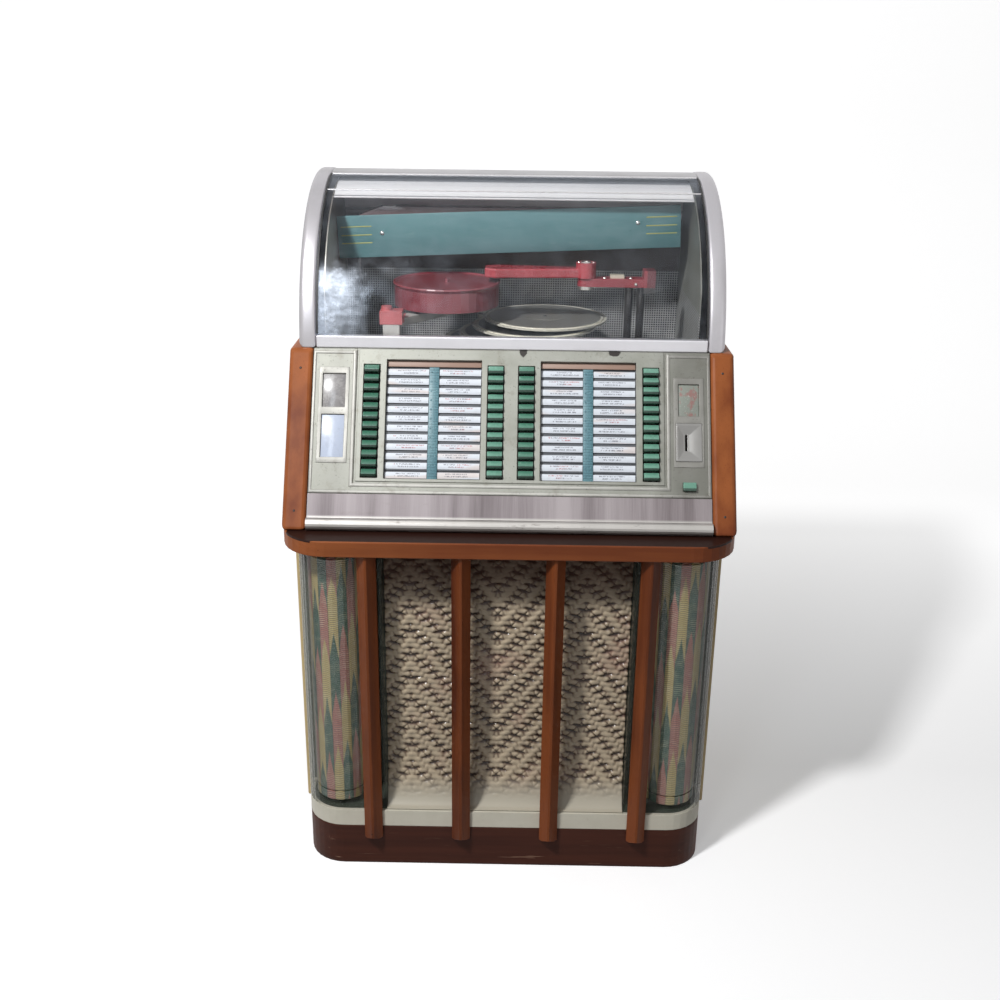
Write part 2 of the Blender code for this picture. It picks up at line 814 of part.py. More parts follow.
def build_amplifier():
    """Amplifier chassis on the case floor, with its valves and transformer."""
    width, depth, height = AMPLIFIER_SIZE
    floor = TRIM_TOP + CASE_FLOOR + GAP
    front = BODY_FRONT + AMPLIFIER_SETBACK
    chassis = box(
        "amplifier",
        (-width / 2, front, floor),
        (width / 2, front + depth, floor + height),
        grey_paint(),
    )
    t_width, t_depth, t_height = TRANSFORMER_SIZE
    edge = width / 2 - t_width / 4
    shapes = [
        box(
            "amplifier_transformer",
            (edge - t_width, front + depth / 4, floor + height / 2),
            (edge, front + depth / 4 + t_depth, floor + height + t_height),
        )
    ]
    for index in range(VALVE_COUNT):
        centre = (-width / 2 + VALVE_MARGIN + index * VALVE_PITCH, front + depth / 2)
        top = floor + height + VALVE_HEIGHT
        shapes.append(rod(f"amplifier_valve_{index}", VALVE_RADIUS, floor + height / 2, top, centre, sides=12))
    join(chassis, *shapes)


def build_cash_box():
    """Open-topped coin box on the case floor at the right."""
    width, depth, height = CASH_BOX_SIZE
    floor = TRIM_TOP + CASE_FLOOR + GAP
    right = BODY_HALF - CASE_WALL - CASH_BOX_SIDE_GAP
    front = BODY_FRONT + AMPLIFIER_SETBACK
    made = box(
        "cash_box", (right - width, front, floor), (right, front + depth, floor + height), grey_paint()
    )
    wall = CASH_BOX_WALL
    hollow = box(
        "cash_box_hollow",
        (right - width + wall, front + wall, floor + wall),
        (right - wall, front + depth - wall, floor + height + OVERRUN),
    )
    cut(made, hollow)


def grille_path():
    """The grille's side profile: upright, then swept forward to the trim band."""
    back = BODY_FRONT + GRILLE_SETBACK
    reach = GRILLE_SETBACK - GRILLE_LIP
    foot = TRIM_TOP + GRILLE_SHEET
    path = [(back, LEDGE_BOTTOM - GAP)]
    for step in range(GRILLE_SWEEP_STEPS + 1):
        turn = math.pi / 2 * step / GRILLE_SWEEP_STEPS
        path.append((back - reach * (1 - math.cos(turn)), foot + GRILLE_SWEEP_RISE * (1 - math.sin(turn))))
    return path


def build_grille_panel():
    """Moulded loudspeaker grille between the outer fins."""
    half = COVER_INNER_X - COVER_WALL - GAP
    sheet("grille_panel", grille_path(), -half, half, GRILLE_SHEET, grille_cream())


def build_fin(name, x):
    """Upright wooden fin with a ridged front, its foot cut square over the plinth."""
    back = BODY_FRONT - GAP
    foot = back - FIN_FOOT
    nose = back - FIN_PROUD
    half, tip = FIN_WIDTH / 2, FIN_NOSE / 2
    outline = [
        (x - half, back),
        (x - half, foot),
        (x - tip, nose),
        (x + tip, nose),
        (x + half, foot),
        (x + half, back),
    ]
    fin = slab(name, [outline], FIN_BOTTOM, LEDGE_BOTTOM - GAP, varnished_wood())
    under = FIN_BOTTOM - OVERRUN
    corner = [(nose - OVERRUN, under), (foot, under), (nose - OVERRUN, FIN_BOTTOM + FIN_END_CUT)]
    cut(fin, profile_bar(name + "_toe", [corner], x - FIN_WIDTH, x + FIN_WIDTH))


def build_fins():
    """Four fins, numbered from the viewer's left."""
    for index, x in enumerate((-OUTER_FIN_X, -INNER_FIN_X, INNER_FIN_X, OUTER_FIN_X), 1):
        build_fin(f"fin_{index}", x)


def cover_outline():
    """Plan of the left clear cover: side, fluted corner, front, and a return behind the fin."""
    half, front, radius, wall = BODY_HALF, BODY_FRONT, BODY_CORNER_RADIUS, COVER_WALL
    centre = (-half + radius, front + radius)
    rear = front + COVER_SIDE_LENGTH
    outer = [(-half, rear)]
    steps = FLUTE_COUNT * 2
    for step in range(steps + 1):
        turn = math.pi * (1 + step / steps / 2)
        reach = radius - (FLUTE_DEPTH if step % 2 else 0)
        outer.append((centre[0] + reach * math.cos(turn), centre[1] + reach * math.sin(turn)))
    outer += [(-COVER_INNER_X + wall, front), (-COVER_INNER_X + wall, front + COVER_RETURN)]
    inner = [(-half + wall, rear)] + arc(centre, radius - wall, math.pi, 1.5 * math.pi, CORNER_STEPS)
    inner += [(-COVER_INNER_X, front + wall), (-COVER_INNER_X, front + COVER_RETURN)]
    return outer + inner[::-1]


def build_pilaster_cover(name, side):
    """Clear fluted cover round one front corner, in front of the colour cylinder."""
    outline = [(side * -x, y) for x, y in cover_outline()]
    slab(name, [outline], TRIM_TOP + 2 * GAP, LEDGE_BOTTOM - GAP, clear_plastic())


def build_colour_cylinder(name, side):
    """Coloured drum that turns behind the clear cover, on a spindle in two bearings."""
    low = TRIM_TOP + CYLINDER_FOOT_GAP
    high = LEDGE_BOTTOM - CYLINDER_TOP_GAP
    foot = TRIM_TOP - BEARING_DEPTH + GAP
    head = LEDGE_BOTTOM + BEARING_DEPTH - GAP
    radius, rim = CYLINDER_RADIUS, CYLINDER_RIM
    profile = [
        (0, head),
        (SPINDLE_RADIUS, head),
        (SPINDLE_RADIUS, high),
        (radius - rim, high),
        (radius, high - rim),
        (radius, low + rim),
        (radius - rim, low),
        (SPINDLE_RADIUS, low),
        (SPINDLE_RADIUS, foot),
        (0, foot),
    ]
    axis = Matrix.Translation((side * CYLINDER_X, CYLINDER_Y, 0))
    smooth(turned(name, profile, colour_film(), 32, matrix=axis))


def build_ledge_moulding():
    """Bull-nosed wooden ledge, a frame that the cheeks and the selector section stand on."""
    radius = BODY_CORNER_RADIUS + LEDGE_SIDE_OVERHANG / 2
    outer = plan_outline(LEDGE_HALF, FRONT, BACK, radius)
    inner = rectangle(
        -LEDGE_HALF + LEDGE_SIDE_BAND, LEDGE_HALF - LEDGE_SIDE_BAND, FRONT + LEDGE_BAND, BACK - LEDGE_SIDE_BAND
    )
    ledge = slab("ledge_moulding", [outer, inner], LEDGE_BOTTOM, LEDGE_TOP, varnished_wood())
    round_edges(ledge, LEDGE_NOSE, 3)
    holes = [
        bearing_hole(f"ledge_bearing_{side}", side, LEDGE_BOTTOM - OVERRUN, LEDGE_BOTTOM + BEARING_DEPTH)
        for side in (-1, 1)
    ]
    cut(ledge, *holes)


def build_cheek(name, side):
    """Wooden side of the selector section, with its sloping front edge."""
    low = LEDGE_TOP + GAP
    outline = [
        (CONTROL_FRONT, low),
        (BACK, low),
        (BACK, CONTROL_TOP),
        (CONTROL_FRONT + CONTROL_RUN, CONTROL_TOP),
    ]
    left, right = span(side, INNER_HALF, LEDGE_HALF)
    cheek = profile_bar(name, [outline], left, right, varnished_wood())
    round_edges(cheek, CHEEK_ROUNDING, 3)


def hinge_knuckle(name, x, low, high, plane):
    """Knuckle and leaf at one place along the lid's hinge line."""
    centre_y = BACK + HINGE_RADIUS
    half = HINGE_KNUCKLE_LENGTH / 2 - GAP
    knuckle = rod(
        name + "_knuckle",
        HINGE_RADIUS,
        x - half,
        x + half,
        (0, 0),
        sides=12,
        matrix=Matrix.Translation((0, centre_y, plane)) @ ALONG_X,
    )
    leaf = box(
        name + "_leaf",
        (x - half, BACK - GAP * 2, low),
        (x + half, BACK + HINGE_LEAF, high),
    )
    return [knuckle, leaf]


def hinge_places(offset):
    """Where the knuckles of one leaf stand: two hinges, each with its knuckles side by side."""
    return [side * HINGE_SPACING + offset * HINGE_KNUCKLE_LENGTH / 2 for side in (-1, 1)]


def build_upper_back():
    """Board across the back of the selector section, which carries the lid's hinges."""
    back = box(
        "upper_back",
        (-INNER_HALF + GAP, BACK - UPPER_BACK_THICKNESS, LEDGE_TOP + GAP),
        (INNER_HALF - GAP, BACK, CONTROL_TOP),
        plain_board(),
    )
    pieces = []
    for index, x in enumerate(hinge_places(-1)):
        pieces += hinge_knuckle(f"back_hinge_{index}", x, CONTROL_TOP - HINGE_LEAF_HEIGHT, LID_BOTTOM, LID_BOTTOM)
    join(back, *pieces)


def control_frame():
    """Empty at the foot of the slope: its X runs right, its Y into the cabinet, its Z up the slope."""
    frame = bpy.data.objects.new("control_slope", None)
    parts.objects.link(frame)
    frame.location = (0, CONTROL_FRONT, LEDGE_TOP)
    frame.rotation_euler = (-SLOPE_ANGLE, 0, 0)
    return frame


def below_top(margin):
    """A height on the slope, measured down from its top edge."""
    return SLOPE_LENGTH - margin


def to_slope(y, z):
    """A point of the side view, given as the slope's own (y, z)."""
    run, rise = y - CONTROL_FRONT, z - LEDGE_TOP
    lean, upright = math.sin(SLOPE_ANGLE), math.cos(SLOPE_ANGLE)
    return run * upright - rise * lean, run * lean + rise * upright


def level_on_slope(y, height):
    """Where a line parallel to the slope's face, y behind it, reaches a height above the ledge."""
    return y, (height + y * math.sin(SLOPE_ANGLE)) / math.cos(SLOPE_ANGLE)


def panel_outline():
    """Side profile of the panel: a plate up the slope, returned level under the lid's rail."""
    face, back = PANEL_FACE, PANEL_FACE + PANEL_THICKNESS
    foot = APRON_LENGTH + GAP
    under = CONTROL_RISE - PANEL_RETURN
    rear = RAIL_FRONT + RAIL_DEPTH
    return [
        (face, foot),
        (back, foot),
        level_on_slope(back, under),
        to_slope(rear, CONTROL_TOP - PANEL_RETURN),
        to_slope(rear, CONTROL_TOP),
        level_on_slope(face, CONTROL_RISE),
    ]


def panel_window(name, frame, x, width, top_margin, height, depth):
    """Cutter for a window or a recess that opens at the panel's face."""
    return box(
        name,
        (x - width / 2, PANEL_FACE - OVERRUN, below_top(top_margin + height)),
        (x + width / 2, PANEL_FACE + depth, below_top(top_margin)),
        parent=frame,
    )


def key_column_span():
    """Bottom and top of a column of keys on the slope."""
    top = below_top(KEY_TOP_MARGIN) + KEY_HEIGHT / 2
    return top - (TITLE_ROWS - 1) * KEY_PITCH - KEY_HEIGHT, top


def build_selector_panel(frame):
    """Cast panel with title windows, key slots, card recesses, coin plate and reject openings."""
    half = INNER_HALF - GAP
    through = PANEL_THICKNESS + OVERRUN
    panel = profile_bar("selector_panel", [panel_outline()], -half, half, cast_grey(), frame)
    round_edges(panel, BORDER_DEPTH / 2, 1)
    title_x = TITLE_WINDOW_INNER_X + TITLE_WINDOW_WIDTH / 2
    low, high = key_column_span()
    margin = KEY_SLOT_MARGIN
    tools = []
    for side in (-1, 1):
        tools.append(
            panel_window(
                f"title_cut_{side}", frame, side * title_x, TITLE_WINDOW_WIDTH, TITLE_TOP_MARGIN,
                TITLE_WINDOW_HEIGHT, through,
            )
        )
        for x in (OUTER_KEYS_X, INNER_KEYS_X):
            tools.append(
                box(
                    f"key_slot_{side * x:.3f}",
                    (side * x - KEY_WIDTH / 2 - margin, PANEL_FACE - OVERRUN, low - margin),
                    (side * x + KEY_WIDTH / 2 + margin, PANEL_FACE + through, high + margin),
                    parent=frame,
                )
            )
    windows = (
        ("upper_card_cut", -SIDE_ZONE_X, CARD_WINDOW_WIDTH, UPPER_CARD_TOP_MARGIN, UPPER_CARD_HEIGHT),
        ("lower_card_cut", -SIDE_ZONE_X, CARD_WINDOW_WIDTH, LOWER_CARD_TOP_MARGIN, LOWER_CARD_HEIGHT),
        ("coin_window_cut", SIDE_ZONE_X, COIN_WINDOW_WIDTH, COIN_WINDOW_TOP_MARGIN, COIN_WINDOW_HEIGHT),
    )
    for name, x, width, top, height in windows:
        tools.append(panel_window(name, frame, x, width, top, height, CARD_WINDOW_DEPTH))
    tools.append(
        panel_window(
            "coin_plate_cut", frame, SIDE_ZONE_X, COIN_PLATE_WIDTH + 2 * GAP, COIN_PLATE_TOP_MARGIN - GAP,
            COIN_PLATE_HEIGHT + 2 * GAP, through,
        )
    )
    tools.append(
        panel_window(
            "reject_cut", frame, SIDE_ZONE_X, REJECT_WIDTH + 2 * REJECT_PLAY,
            REJECT_TOP_MARGIN - REJECT_PLAY, REJECT_HEIGHT + 2 * REJECT_PLAY, through,
        )
    )
    tools.append(border_groove(frame))
    cut(panel, *tools)


def border_groove(frame):
    """Stepped line down, along and up round the title windows and keys."""
    low = APRON_LENGTH + BORDER_BOTTOM_MARGIN
    high = SLOPE_LENGTH + 2 * OVERRUN
    outer, wide = BORDER_X, BORDER_WIDTH
    outline = [
        (-outer, high),
        (-outer, low),
        (outer, low),
        (outer, high),
        (outer - wide, high),
        (outer - wide, low + wide),
        (-outer + wide, low + wide),
        (-outer + wide, high),
    ]
    depth = BORDER_DEPTH + OVERRUN
    middle = PANEL_FACE + BORDER_DEPTH - depth / 2
    upright = Matrix.Translation((0, middle, 0)) @ Matrix.Rotation(math.pi / 2, 4, "X")
    return plate("border_groove", [outline], depth, None, upright, frame)


def build_apron(frame):
    """Steel apron below the panel, rolled outward at its foot."""
    face, back = APRON_FACE, APRON_FACE + APRON_THICKNESS
    rise, lean = math.cos(SLOPE_ANGLE), math.sin(SLOPE_ANGLE)
    centre = (face, (ROLL_RADIUS + GAP + face * lean) / rise)
    lowest = 3 * math.pi / 2 + SLOPE_ANGLE
    roll = arc(centre, ROLL_RADIUS, ROLL_START_ANGLE, lowest, 10)
    outline = [(back, APRON_LENGTH), (face, APRON_LENGTH)] + roll + [(back, (GAP + back * lean) / rise)]
    half = INNER_HALF - GAP
    profile_bar("apron", [outline], -half, half, brushed_steel(), frame)


def build_title_rack(frame, name, side):
    """Rack behind a title window: one comb profile, with a rib between the rows of strips."""
    face = PANEL_FACE + PANEL_THICKNESS + GAP
    back = face + TITLE_RIB_DEPTH + TITLE_PLATE
    window_top = below_top(TITLE_TOP_MARGIN)
    window_low = window_top - TITLE_WINDOW_HEIGHT
    top, low = window_top + TITLE_MARGIN, window_low - TITLE_MARGIN
    pitch = TITLE_WINDOW_HEIGHT / TITLE_ROWS
    outline = [(back, low), (back, top), (face, top)]
    for row in range(1, TITLE_ROWS):
        middle = window_top - row * pitch
        near, far = middle + TITLE_RIB_HEIGHT / 2, middle - TITLE_RIB_HEIGHT / 2
        previous = window_top if row == 1 else middle + pitch - TITLE_RIB_HEIGHT / 2
        outline += [(face, previous), (face + TITLE_RIB_DEPTH, previous)]
        outline += [(face + TITLE_RIB_DEPTH, near), (face, near)]
        last = far
    outline += [(face, last), (face + TITLE_RIB_DEPTH, last)]
    outline += [(face + TITLE_RIB_DEPTH, window_low), (face, window_low), (face, low)]
    inner = TITLE_WINDOW_INNER_X - TITLE_MARGIN
    left, right = span(side, inner, inner + TITLE_WINDOW_WIDTH + 2 * TITLE_MARGIN)
    profile_bar(name, [outline], left, right, title_card(), frame)


def key_centre(row):
    """Height of a key's middle on the slope, with row 0 at the top."""
    return below_top(KEY_TOP_MARGIN) - row * KEY_PITCH


def key_head(name, frame, x, row, back):
    """The part of a key that stands in the panel's slot.

    It slopes out from its brow to its nose, and is cut back below that to its chin.
    """
    low = key_centre(row) - KEY_HEIGHT / 2
    high = low + KEY_HEIGHT
    outline = [
        (back, low),
        (back, high),
        (PANEL_FACE - KEY_PROUD * KEY_BROW_share, high),
        (PANEL_FACE - KEY_PROUD, low + KEY_HEIGHT * KEY_NOSE_share),
        (PANEL_FACE - KEY_PROUD * KEY_CHIN_share, low),
    ]
    return profile_bar(name, [outline], x - KEY_WIDTH / 2, x + KEY_WIDTH / 2, None, frame)


def build_key_frame(frame):
    """Plate behind the panel with guide strips for the keys of each column.

    The keys of the first column are pieces of their own. Those of the other three are one
    solid with their strips.
    """
    face = PANEL_FACE + PANEL_THICKNESS + GAP
    rack_back = face + TITLE_RIB_DEPTH + TITLE_PLATE
    plate_face = rack_back + GAP
    low, high = key_column_span()
    margin = KEY_PLATE_MARGIN
    reach = OUTER_KEYS_X + KEY_WIDTH / 2
    frame_plate = box(
        "key_frame",
        (-reach, plate_face, low - margin),
        (reach, plate_face + KEY_PLATE, high + margin),
        dark_steel(),
        frame,
    )
    shapes = []
    columns = (-OUTER_KEYS_X, -INNER_KEYS_X, INNER_KEYS_X, OUTER_KEYS_X)
    strip_half = KEY_WIDTH / 2 - TITLE_MARGIN / 2
    for index, x in enumerate(columns):
        strip = box(
            f"key_strip_{index}",
            (x - strip_half, face + TITLE_RIB_DEPTH / 2, low - margin / 2),
            (x + strip_half, plate_face + KEY_PLATE / 2, high + margin / 2),
            parent=frame,
        )
        shapes.append(strip)
        if index:
            for row in range(TITLE_ROWS):
                shapes.append(key_head(f"key_{index}_{row}", frame, x, row, plate_face + KEY_PLATE / 2))
    join(frame_plate, *shapes)
    stem_holes = [
        box(
            f"key_stem_hole_{row}",
            (columns[0] - KEY_STEM / 2 - GAP, face - OVERRUN, key_centre(row) - KEY_STEM / 2 - GAP),
            (columns[0] + KEY_STEM / 2 + GAP, plate_face + KEY_PLATE + OVERRUN, key_centre(row) + KEY_STEM / 2 + GAP),
            parent=frame,
        )
        for row in range(TITLE_ROWS)
    ]
    cut(frame_plate, *stem_holes)


def build_keys(frame):
    """The twelve keys of the first column, each on its own stem."""
    x = -OUTER_KEYS_X
    for row in range(TITLE_ROWS):
        middle = key_centre(row)
        back = PANEL_FACE + KEY_BACK
        head = key_head(f"key_{row + 1:02d}", frame, x, row, back)
        head.data.materials.append(key_green())
        round_edges(head, KEY_ROUNDING, 1, 30.0)
        stem = box(
            f"key_stem_{row}",
            (x - KEY_STEM / 2, back - KEY_BACK / 2, middle - KEY_STEM / 2),
            (x + KEY_STEM / 2, back + KEY_STEM_LENGTH, middle + KEY_STEM / 2),
            parent=frame,
        )
        join(head, stem)


def build_coin_entry(frame):
    """Coin plate with a four-sided recess and an upright slot."""
    top = below_top(COIN_PLATE_TOP_MARGIN)
    low = top - COIN_PLATE_HEIGHT
    x = SIDE_ZONE_X
    face = PANEL_FACE - COIN_PLATE_PROUD
    plate_box = box(
        "coin_entry",
        (x - COIN_PLATE_WIDTH / 2, face, low),
        (x + COIN_PLATE_WIDTH / 2, face + COIN_PLATE_THICKNESS, top),
        satin_aluminium(),
        frame,
    )
    middle = (top + low) / 2
    half_width = COIN_PLATE_WIDTH / 2 - COIN_RECESS_MARGIN
    half_height = COIN_PLATE_HEIGHT / 2 - COIN_RECESS_MARGIN
    mesh = bpy.data.meshes.new("coin_recess")
    shape = bmesh.new()
    bmesh.ops.create_cone(
        shape, cap_ends=True, segments=4, radius1=math.sqrt(0.5), radius2=math.sqrt(0.5) / 4, depth=1.0
    )
    bmesh.ops.rotate(shape, cent=(0, 0, 0), matrix=Matrix.Rotation(math.pi / 4, 3, "Z"), verts=shape.verts)
    bmesh.ops.rotate(shape, cent=(0, 0, 0), matrix=Matrix.Rotation(-math.pi / 2, 3, "X"), verts=shape.verts)
    depth = COIN_RECESS_DEPTH * 2
    bmesh.ops.scale(shape, vec=(2 * half_width, depth, 2 * half_height), verts=shape.verts)
    bmesh.ops.translate(shape, vec=(x, face, middle), verts=shape.verts)
    shape.to_mesh(mesh)
    shape.free()
    recess = place(mesh, "coin_recess", None, frame)
    slot_x = x - COIN_SLOT_OFFSET
    slot = box(
        "coin_slot",
        (slot_x - COIN_SLOT_WIDTH / 2, face - OVERRUN, middle - COIN_SLOT_HEIGHT / 2),
        (slot_x + COIN_SLOT_WIDTH / 2, face + COIN_PLATE_THICKNESS + OVERRUN, middle + COIN_SLOT_HEIGHT / 2),
        parent=frame,
    )
    cut(plate_box, recess, slot)


def build_reject_button(frame):
    """Green reject button that slides in its opening."""
    top = below_top(REJECT_TOP_MARGIN)
    face = PANEL_FACE - REJECT_PROUD
    button = box(
        "reject_button",
        (SIDE_ZONE_X - REJECT_WIDTH / 2, face, top - REJECT_HEIGHT),
        (SIDE_ZONE_X + REJECT_WIDTH / 2, face + REJECT_DEPTH, top),
        key_green(),
        frame,
    )
    round_edges(button, KEY_ROUNDING, 2)


def build_selector_section():
    """Everything on the slope, parented to one empty."""
    frame = control_frame()
    build_selector_panel(frame)
    build_apron(frame)
    build_title_rack(frame, "title_rack_left", -1)
    build_title_rack(frame, "title_rack_right", 1)
    build_key_frame(frame)
    build_keys(frame)
    build_coin_entry(frame)
    build_reject_button(frame)


def build_dome_casting(name, side):
    """Side casting of the lid: a rounded rim and a thin outer wall, hollow towards the inside."""
    outline = dome_arc(DOME_RADIUS, DOME_START_ANGLE, DOME_END_ANGLE) + [(BACK, LID_BOTTOM)]
    left, right = span(side, CASTING_INNER, CASTING_OUTER)
    casting = profile_bar(name, [outline], left, right, satin_aluminium())
    round_edges(casting, CASTING_ROUNDING, 3, 60.0)
    rim = CASTING_RIM
    radius = DOME_RADIUS - rim
    floor = LID_BOTTOM + rim
    start = math.asin((floor - DOME_Z) / radius)
    end = math.pi - math.acos((DOME_CENTRE_SETBACK - rim) / radius)
    inner = dome_arc(radius, start, end) + [(BACK - rim, floor)]
    left, right = span(side, CASTING_INNER - OVERRUN, CASTING_OUTER - CASTING_SIDE)
    cut(casting, profile_bar(name + "_hollow", [inner], left, right))


def build_dome_glass():
    """Curved front glass from the rail up over the dome."""
    middle = GLASS_RADIUS - GLASS_THICKNESS / 2
    start = math.asin((LID_BOTTOM + RAIL_HEIGHT + GAP - DOME_Z) / (GLASS_RADIUS - GLASS_THICKNESS))
    path = dome_arc(middle, start, GLASS_END_ANGLE)
    sheet("dome_glass", path, -LID_HALF, LID_HALF, GLASS_THICKNESS, clear_glass())


def build_dome_rail():
    """Front rail of the lid, between the castings."""
    rail = box(
        "dome_rail",
        (-LID_HALF, RAIL_FRONT, LID_BOTTOM),
        (LID_HALF, RAIL_FRONT + RAIL_DEPTH, LID_BOTTOM + RAIL_HEIGHT),
        satin_aluminium(),
    )
    round_edges(rail, RAIL_ROUNDING, 2)


def build_dome_rear():
    """Metal top and back of the lid, behind the glass, with the hinge knuckles at its foot."""
    middle = GLASS_RADIUS - REAR_SHEET / 2
    rear = BACK - REAR_SHEET / 2
    start = GLASS_END_ANGLE + 2 * GAP / GLASS_RADIUS
    end = math.pi - math.acos((rear - DOME_Y) / middle)
    path = dome_arc(middle, start, end, 6) + [(rear, LID_BOTTOM)]
    back = sheet("dome_rear", path, -LID_HALF, LID_HALF, REAR_SHEET, satin_aluminium())
    pieces = []
    for index, x in enumerate(hinge_places(1)):
        pieces += hinge_knuckle(f"lid_hinge_{index}", x, LID_BOTTOM, LID_BOTTOM + HINGE_LEAF_HEIGHT, LID_BOTTOM)
    join(back, *pieces)


def build_rear_door():
    """Service door over the back of the case, with ventilation slots and a turn lock."""
    half = BODY_HALF - DOOR_MARGIN
    low = TRIM_TOP + DOOR_MARGIN
    high = LEDGE_BOTTOM - DOOR_MARGIN
    door = box("rear_door", (-half, BACK - DOOR_THICKNESS, low), (half, BACK, high), plain_board())
    tools = []
    middle = (low + high) / 2
    first = middle - (DOOR_VENTS - 1) / 2 * DOOR_VENT_PITCH
    for index in range(DOOR_VENTS):
        centre = first + index * DOOR_VENT_PITCH
        tools.append(
            box(
                f"door_vent_{index}",
                (-DOOR_VENT_LENGTH / 2, BACK - DOOR_THICKNESS - OVERRUN, centre - DOOR_VENT_HEIGHT / 2),
                (DOOR_VENT_LENGTH / 2, BACK + OVERRUN, centre + DOOR_VENT_HEIGHT / 2),
            )
        )
    cut(door, *tools)
    lock = rod(
        "door_lock",
        DOOR_PULL_RADIUS,
        -DOOR_THICKNESS / 2,
        DOOR_PULL_DEPTH,
        (0, 0),
        sides=16,
        matrix=Matrix.Translation((-half + DOOR_PULL_MARGIN, BACK, middle)) @ Matrix.Rotation(-math.pi / 2, 4, "X"),
    )
    join(door, lock)
    set_origin(door, (half, BACK, middle))


def build_mechanism_base():
    """Deck across the cabinet under the dome, with the rod that props the header board."""
    deck = box(
        "mechanism_base",
        (-INNER_HALF + GAP, SLOPE_TOP_Y + DECK_FRONT, DECK_TOP - DECK_THICKNESS),
        (INNER_HALF - GAP, BACK - UPPER_BACK_THICKNESS - GAP, DECK_TOP),
        dark_steel(),
    )
    props = rod(
        "header_rod",
        BOARD_ROD_RADIUS,
        DECK_TOP - DECK_THICKNESS / 2,
        header_bottom() - GAP,
        (-BOARD_ROD_X, header_y()),
        sides=8,
    )
    join(deck, props)


def header_y():
    """Middle plane of the header board."""
    return DOME_Y - DOME_RADIUS + BOARD_SETBACK


def header_bottom():
    """Underside of the header board, which hangs below the hood."""
    hood = DOME_Z + math.sqrt(HOOD_RADIUS ** 2 - (header_y() - DOME_Y) ** 2)
    return hood - BOARD_HOOD_GAP - BOARD_HEIGHT


def build_header_board():
    """Painted board across the dome, between the side screens, with a lamp channel behind it."""
    half = SCREEN_HALF - SCREEN_SHEET - GAP
    low = header_bottom()
    y = header_y()
    board = box(
        "header_board",
        (-half, y - BOARD_THICKNESS / 2, low),
        (half, y + BOARD_THICKNESS / 2, low + BOARD_HEIGHT),
        header_teal(),
    )
    left, right = -half + LAMP_LEFT_MARGIN, half - LAMP_RIGHT_MARGIN
    top = low + BOARD_HEIGHT + LAMP_RISE
    outline = [
        (left, top - LAMP_HEIGHT),
        (right, top - LAMP_HEIGHT),
        (right, top - LAMP_END_DROP),
        (right - LAMP_END_RUN, top),
        (left + LAMP_END_RUN, top),
        (left, top - LAMP_END_DROP),
    ]
    upright = Matrix.Translation((0, y + LAMP_DEPTH / 2, 0)) @ Matrix.Rotation(math.pi / 2, 4, "X")
    join(board, plate("lamp_channel", [outline], LAMP_DEPTH, None, upright))


def build_inner_screen():
    """Perforated screen behind the mechanism, with a side wall at each end."""
    back = BACK - SCREEN_BACK_GAP
    low = DECK_TOP + GAP
    radius = DOME_RADIUS - SCREEN_RADIUS_GAP
    front = SLOPE_TOP_Y + SCREEN_FRONT
    start = math.acos((DOME_Y - front) / radius)
    end = math.pi / 2 + math.asin((back - DOME_Y) / radius)
    arch = dome_arc(radius, start, end, 12)
    screen = box(
        "inner_screen",
        (-SCREEN_HALF, back - SCREEN_SHEET, low),
        (SCREEN_HALF, back, arch[-1][1] - HOOD_DROP),
        dark_steel(),
    )
    side_outline = [(front, low)] + arch + [(back, low)]
    sides = []
    for side in (-1, 1):
        left, right = span(side, SCREEN_HALF - SCREEN_SHEET, SCREEN_HALF)
        sides.append(profile_bar(f"screen_side_{side}", [side_outline], left, right))
    join(screen, *sides)


def build_inner_hood():
    """Curved hood inside the crown of the dome, between the screen's side walls."""
    back = BACK - HOOD_BACK_GAP
    end = math.pi / 2 + math.asin((back - HOOD_CORNER - DOME_Y) / HOOD_RADIUS)
    path = dome_arc(HOOD_RADIUS, HOOD_START_ANGLE, end, HOOD_STEPS)
    crown = path[-1][1]
    path += [(back, crown - HOOD_CORNER_DROP), (back, crown - HOOD_BACK_DROP)]
    half = SCREEN_HALF - SCREEN_SHEET - GAP
    sheet("inner_hood", path, -half, half, HOOD_SHEET, satin_aluminium())


def turntable_axis():
    """Where a tray brings its record under the turntable's spindle."""
    return (
        TRAY_POST_X + TRAY_ARM * math.cos(TRAY_PLAY_ANGLE),
        TRAY_POST_Y + TRAY_ARM * math.sin(TRAY_PLAY_ANGLE),
    )


def build_turntable():
    """Deep-skirted turntable with a rolled lip, its hub sunk inside the skirt."""
    top, bottom = TURNTABLE_TOP, TURNTABLE_BOTTOM
    radius, wall, lip = TURNTABLE_RADIUS, TURNTABLE_WALL, TURNTABLE_LIP
    under = top - wall
    hub_bottom = under - TURNTABLE_HUB_DEPTH
    profile = [
        (0, top + TURNTABLE_SPINDLE_HEIGHT),
        (TURNTABLE_SPINDLE_RADIUS, top + TURNTABLE_SPINDLE_HEIGHT),
        (TURNTABLE_SPINDLE_RADIUS, top),
        (radius - 3 * lip, top),
        (radius - 2 * lip, top + lip),
        (radius - lip / 2, top + lip),
        (radius, top),
        (radius - lip, top - 2 * lip),
        (radius - lip, bottom),
        (radius - lip - wall, bottom),
        (radius - lip - wall, under),
        (TURNTABLE_HUB_RADIUS, under),
        (TURNTABLE_HUB_RADIUS, hub_bottom),
        (0, hub_bottom),
    ]
    x, y = turntable_axis()
    smooth(turned("turntable", profile, mechanism_red(), 40, matrix=Matrix.Translation((x, y, 0))))


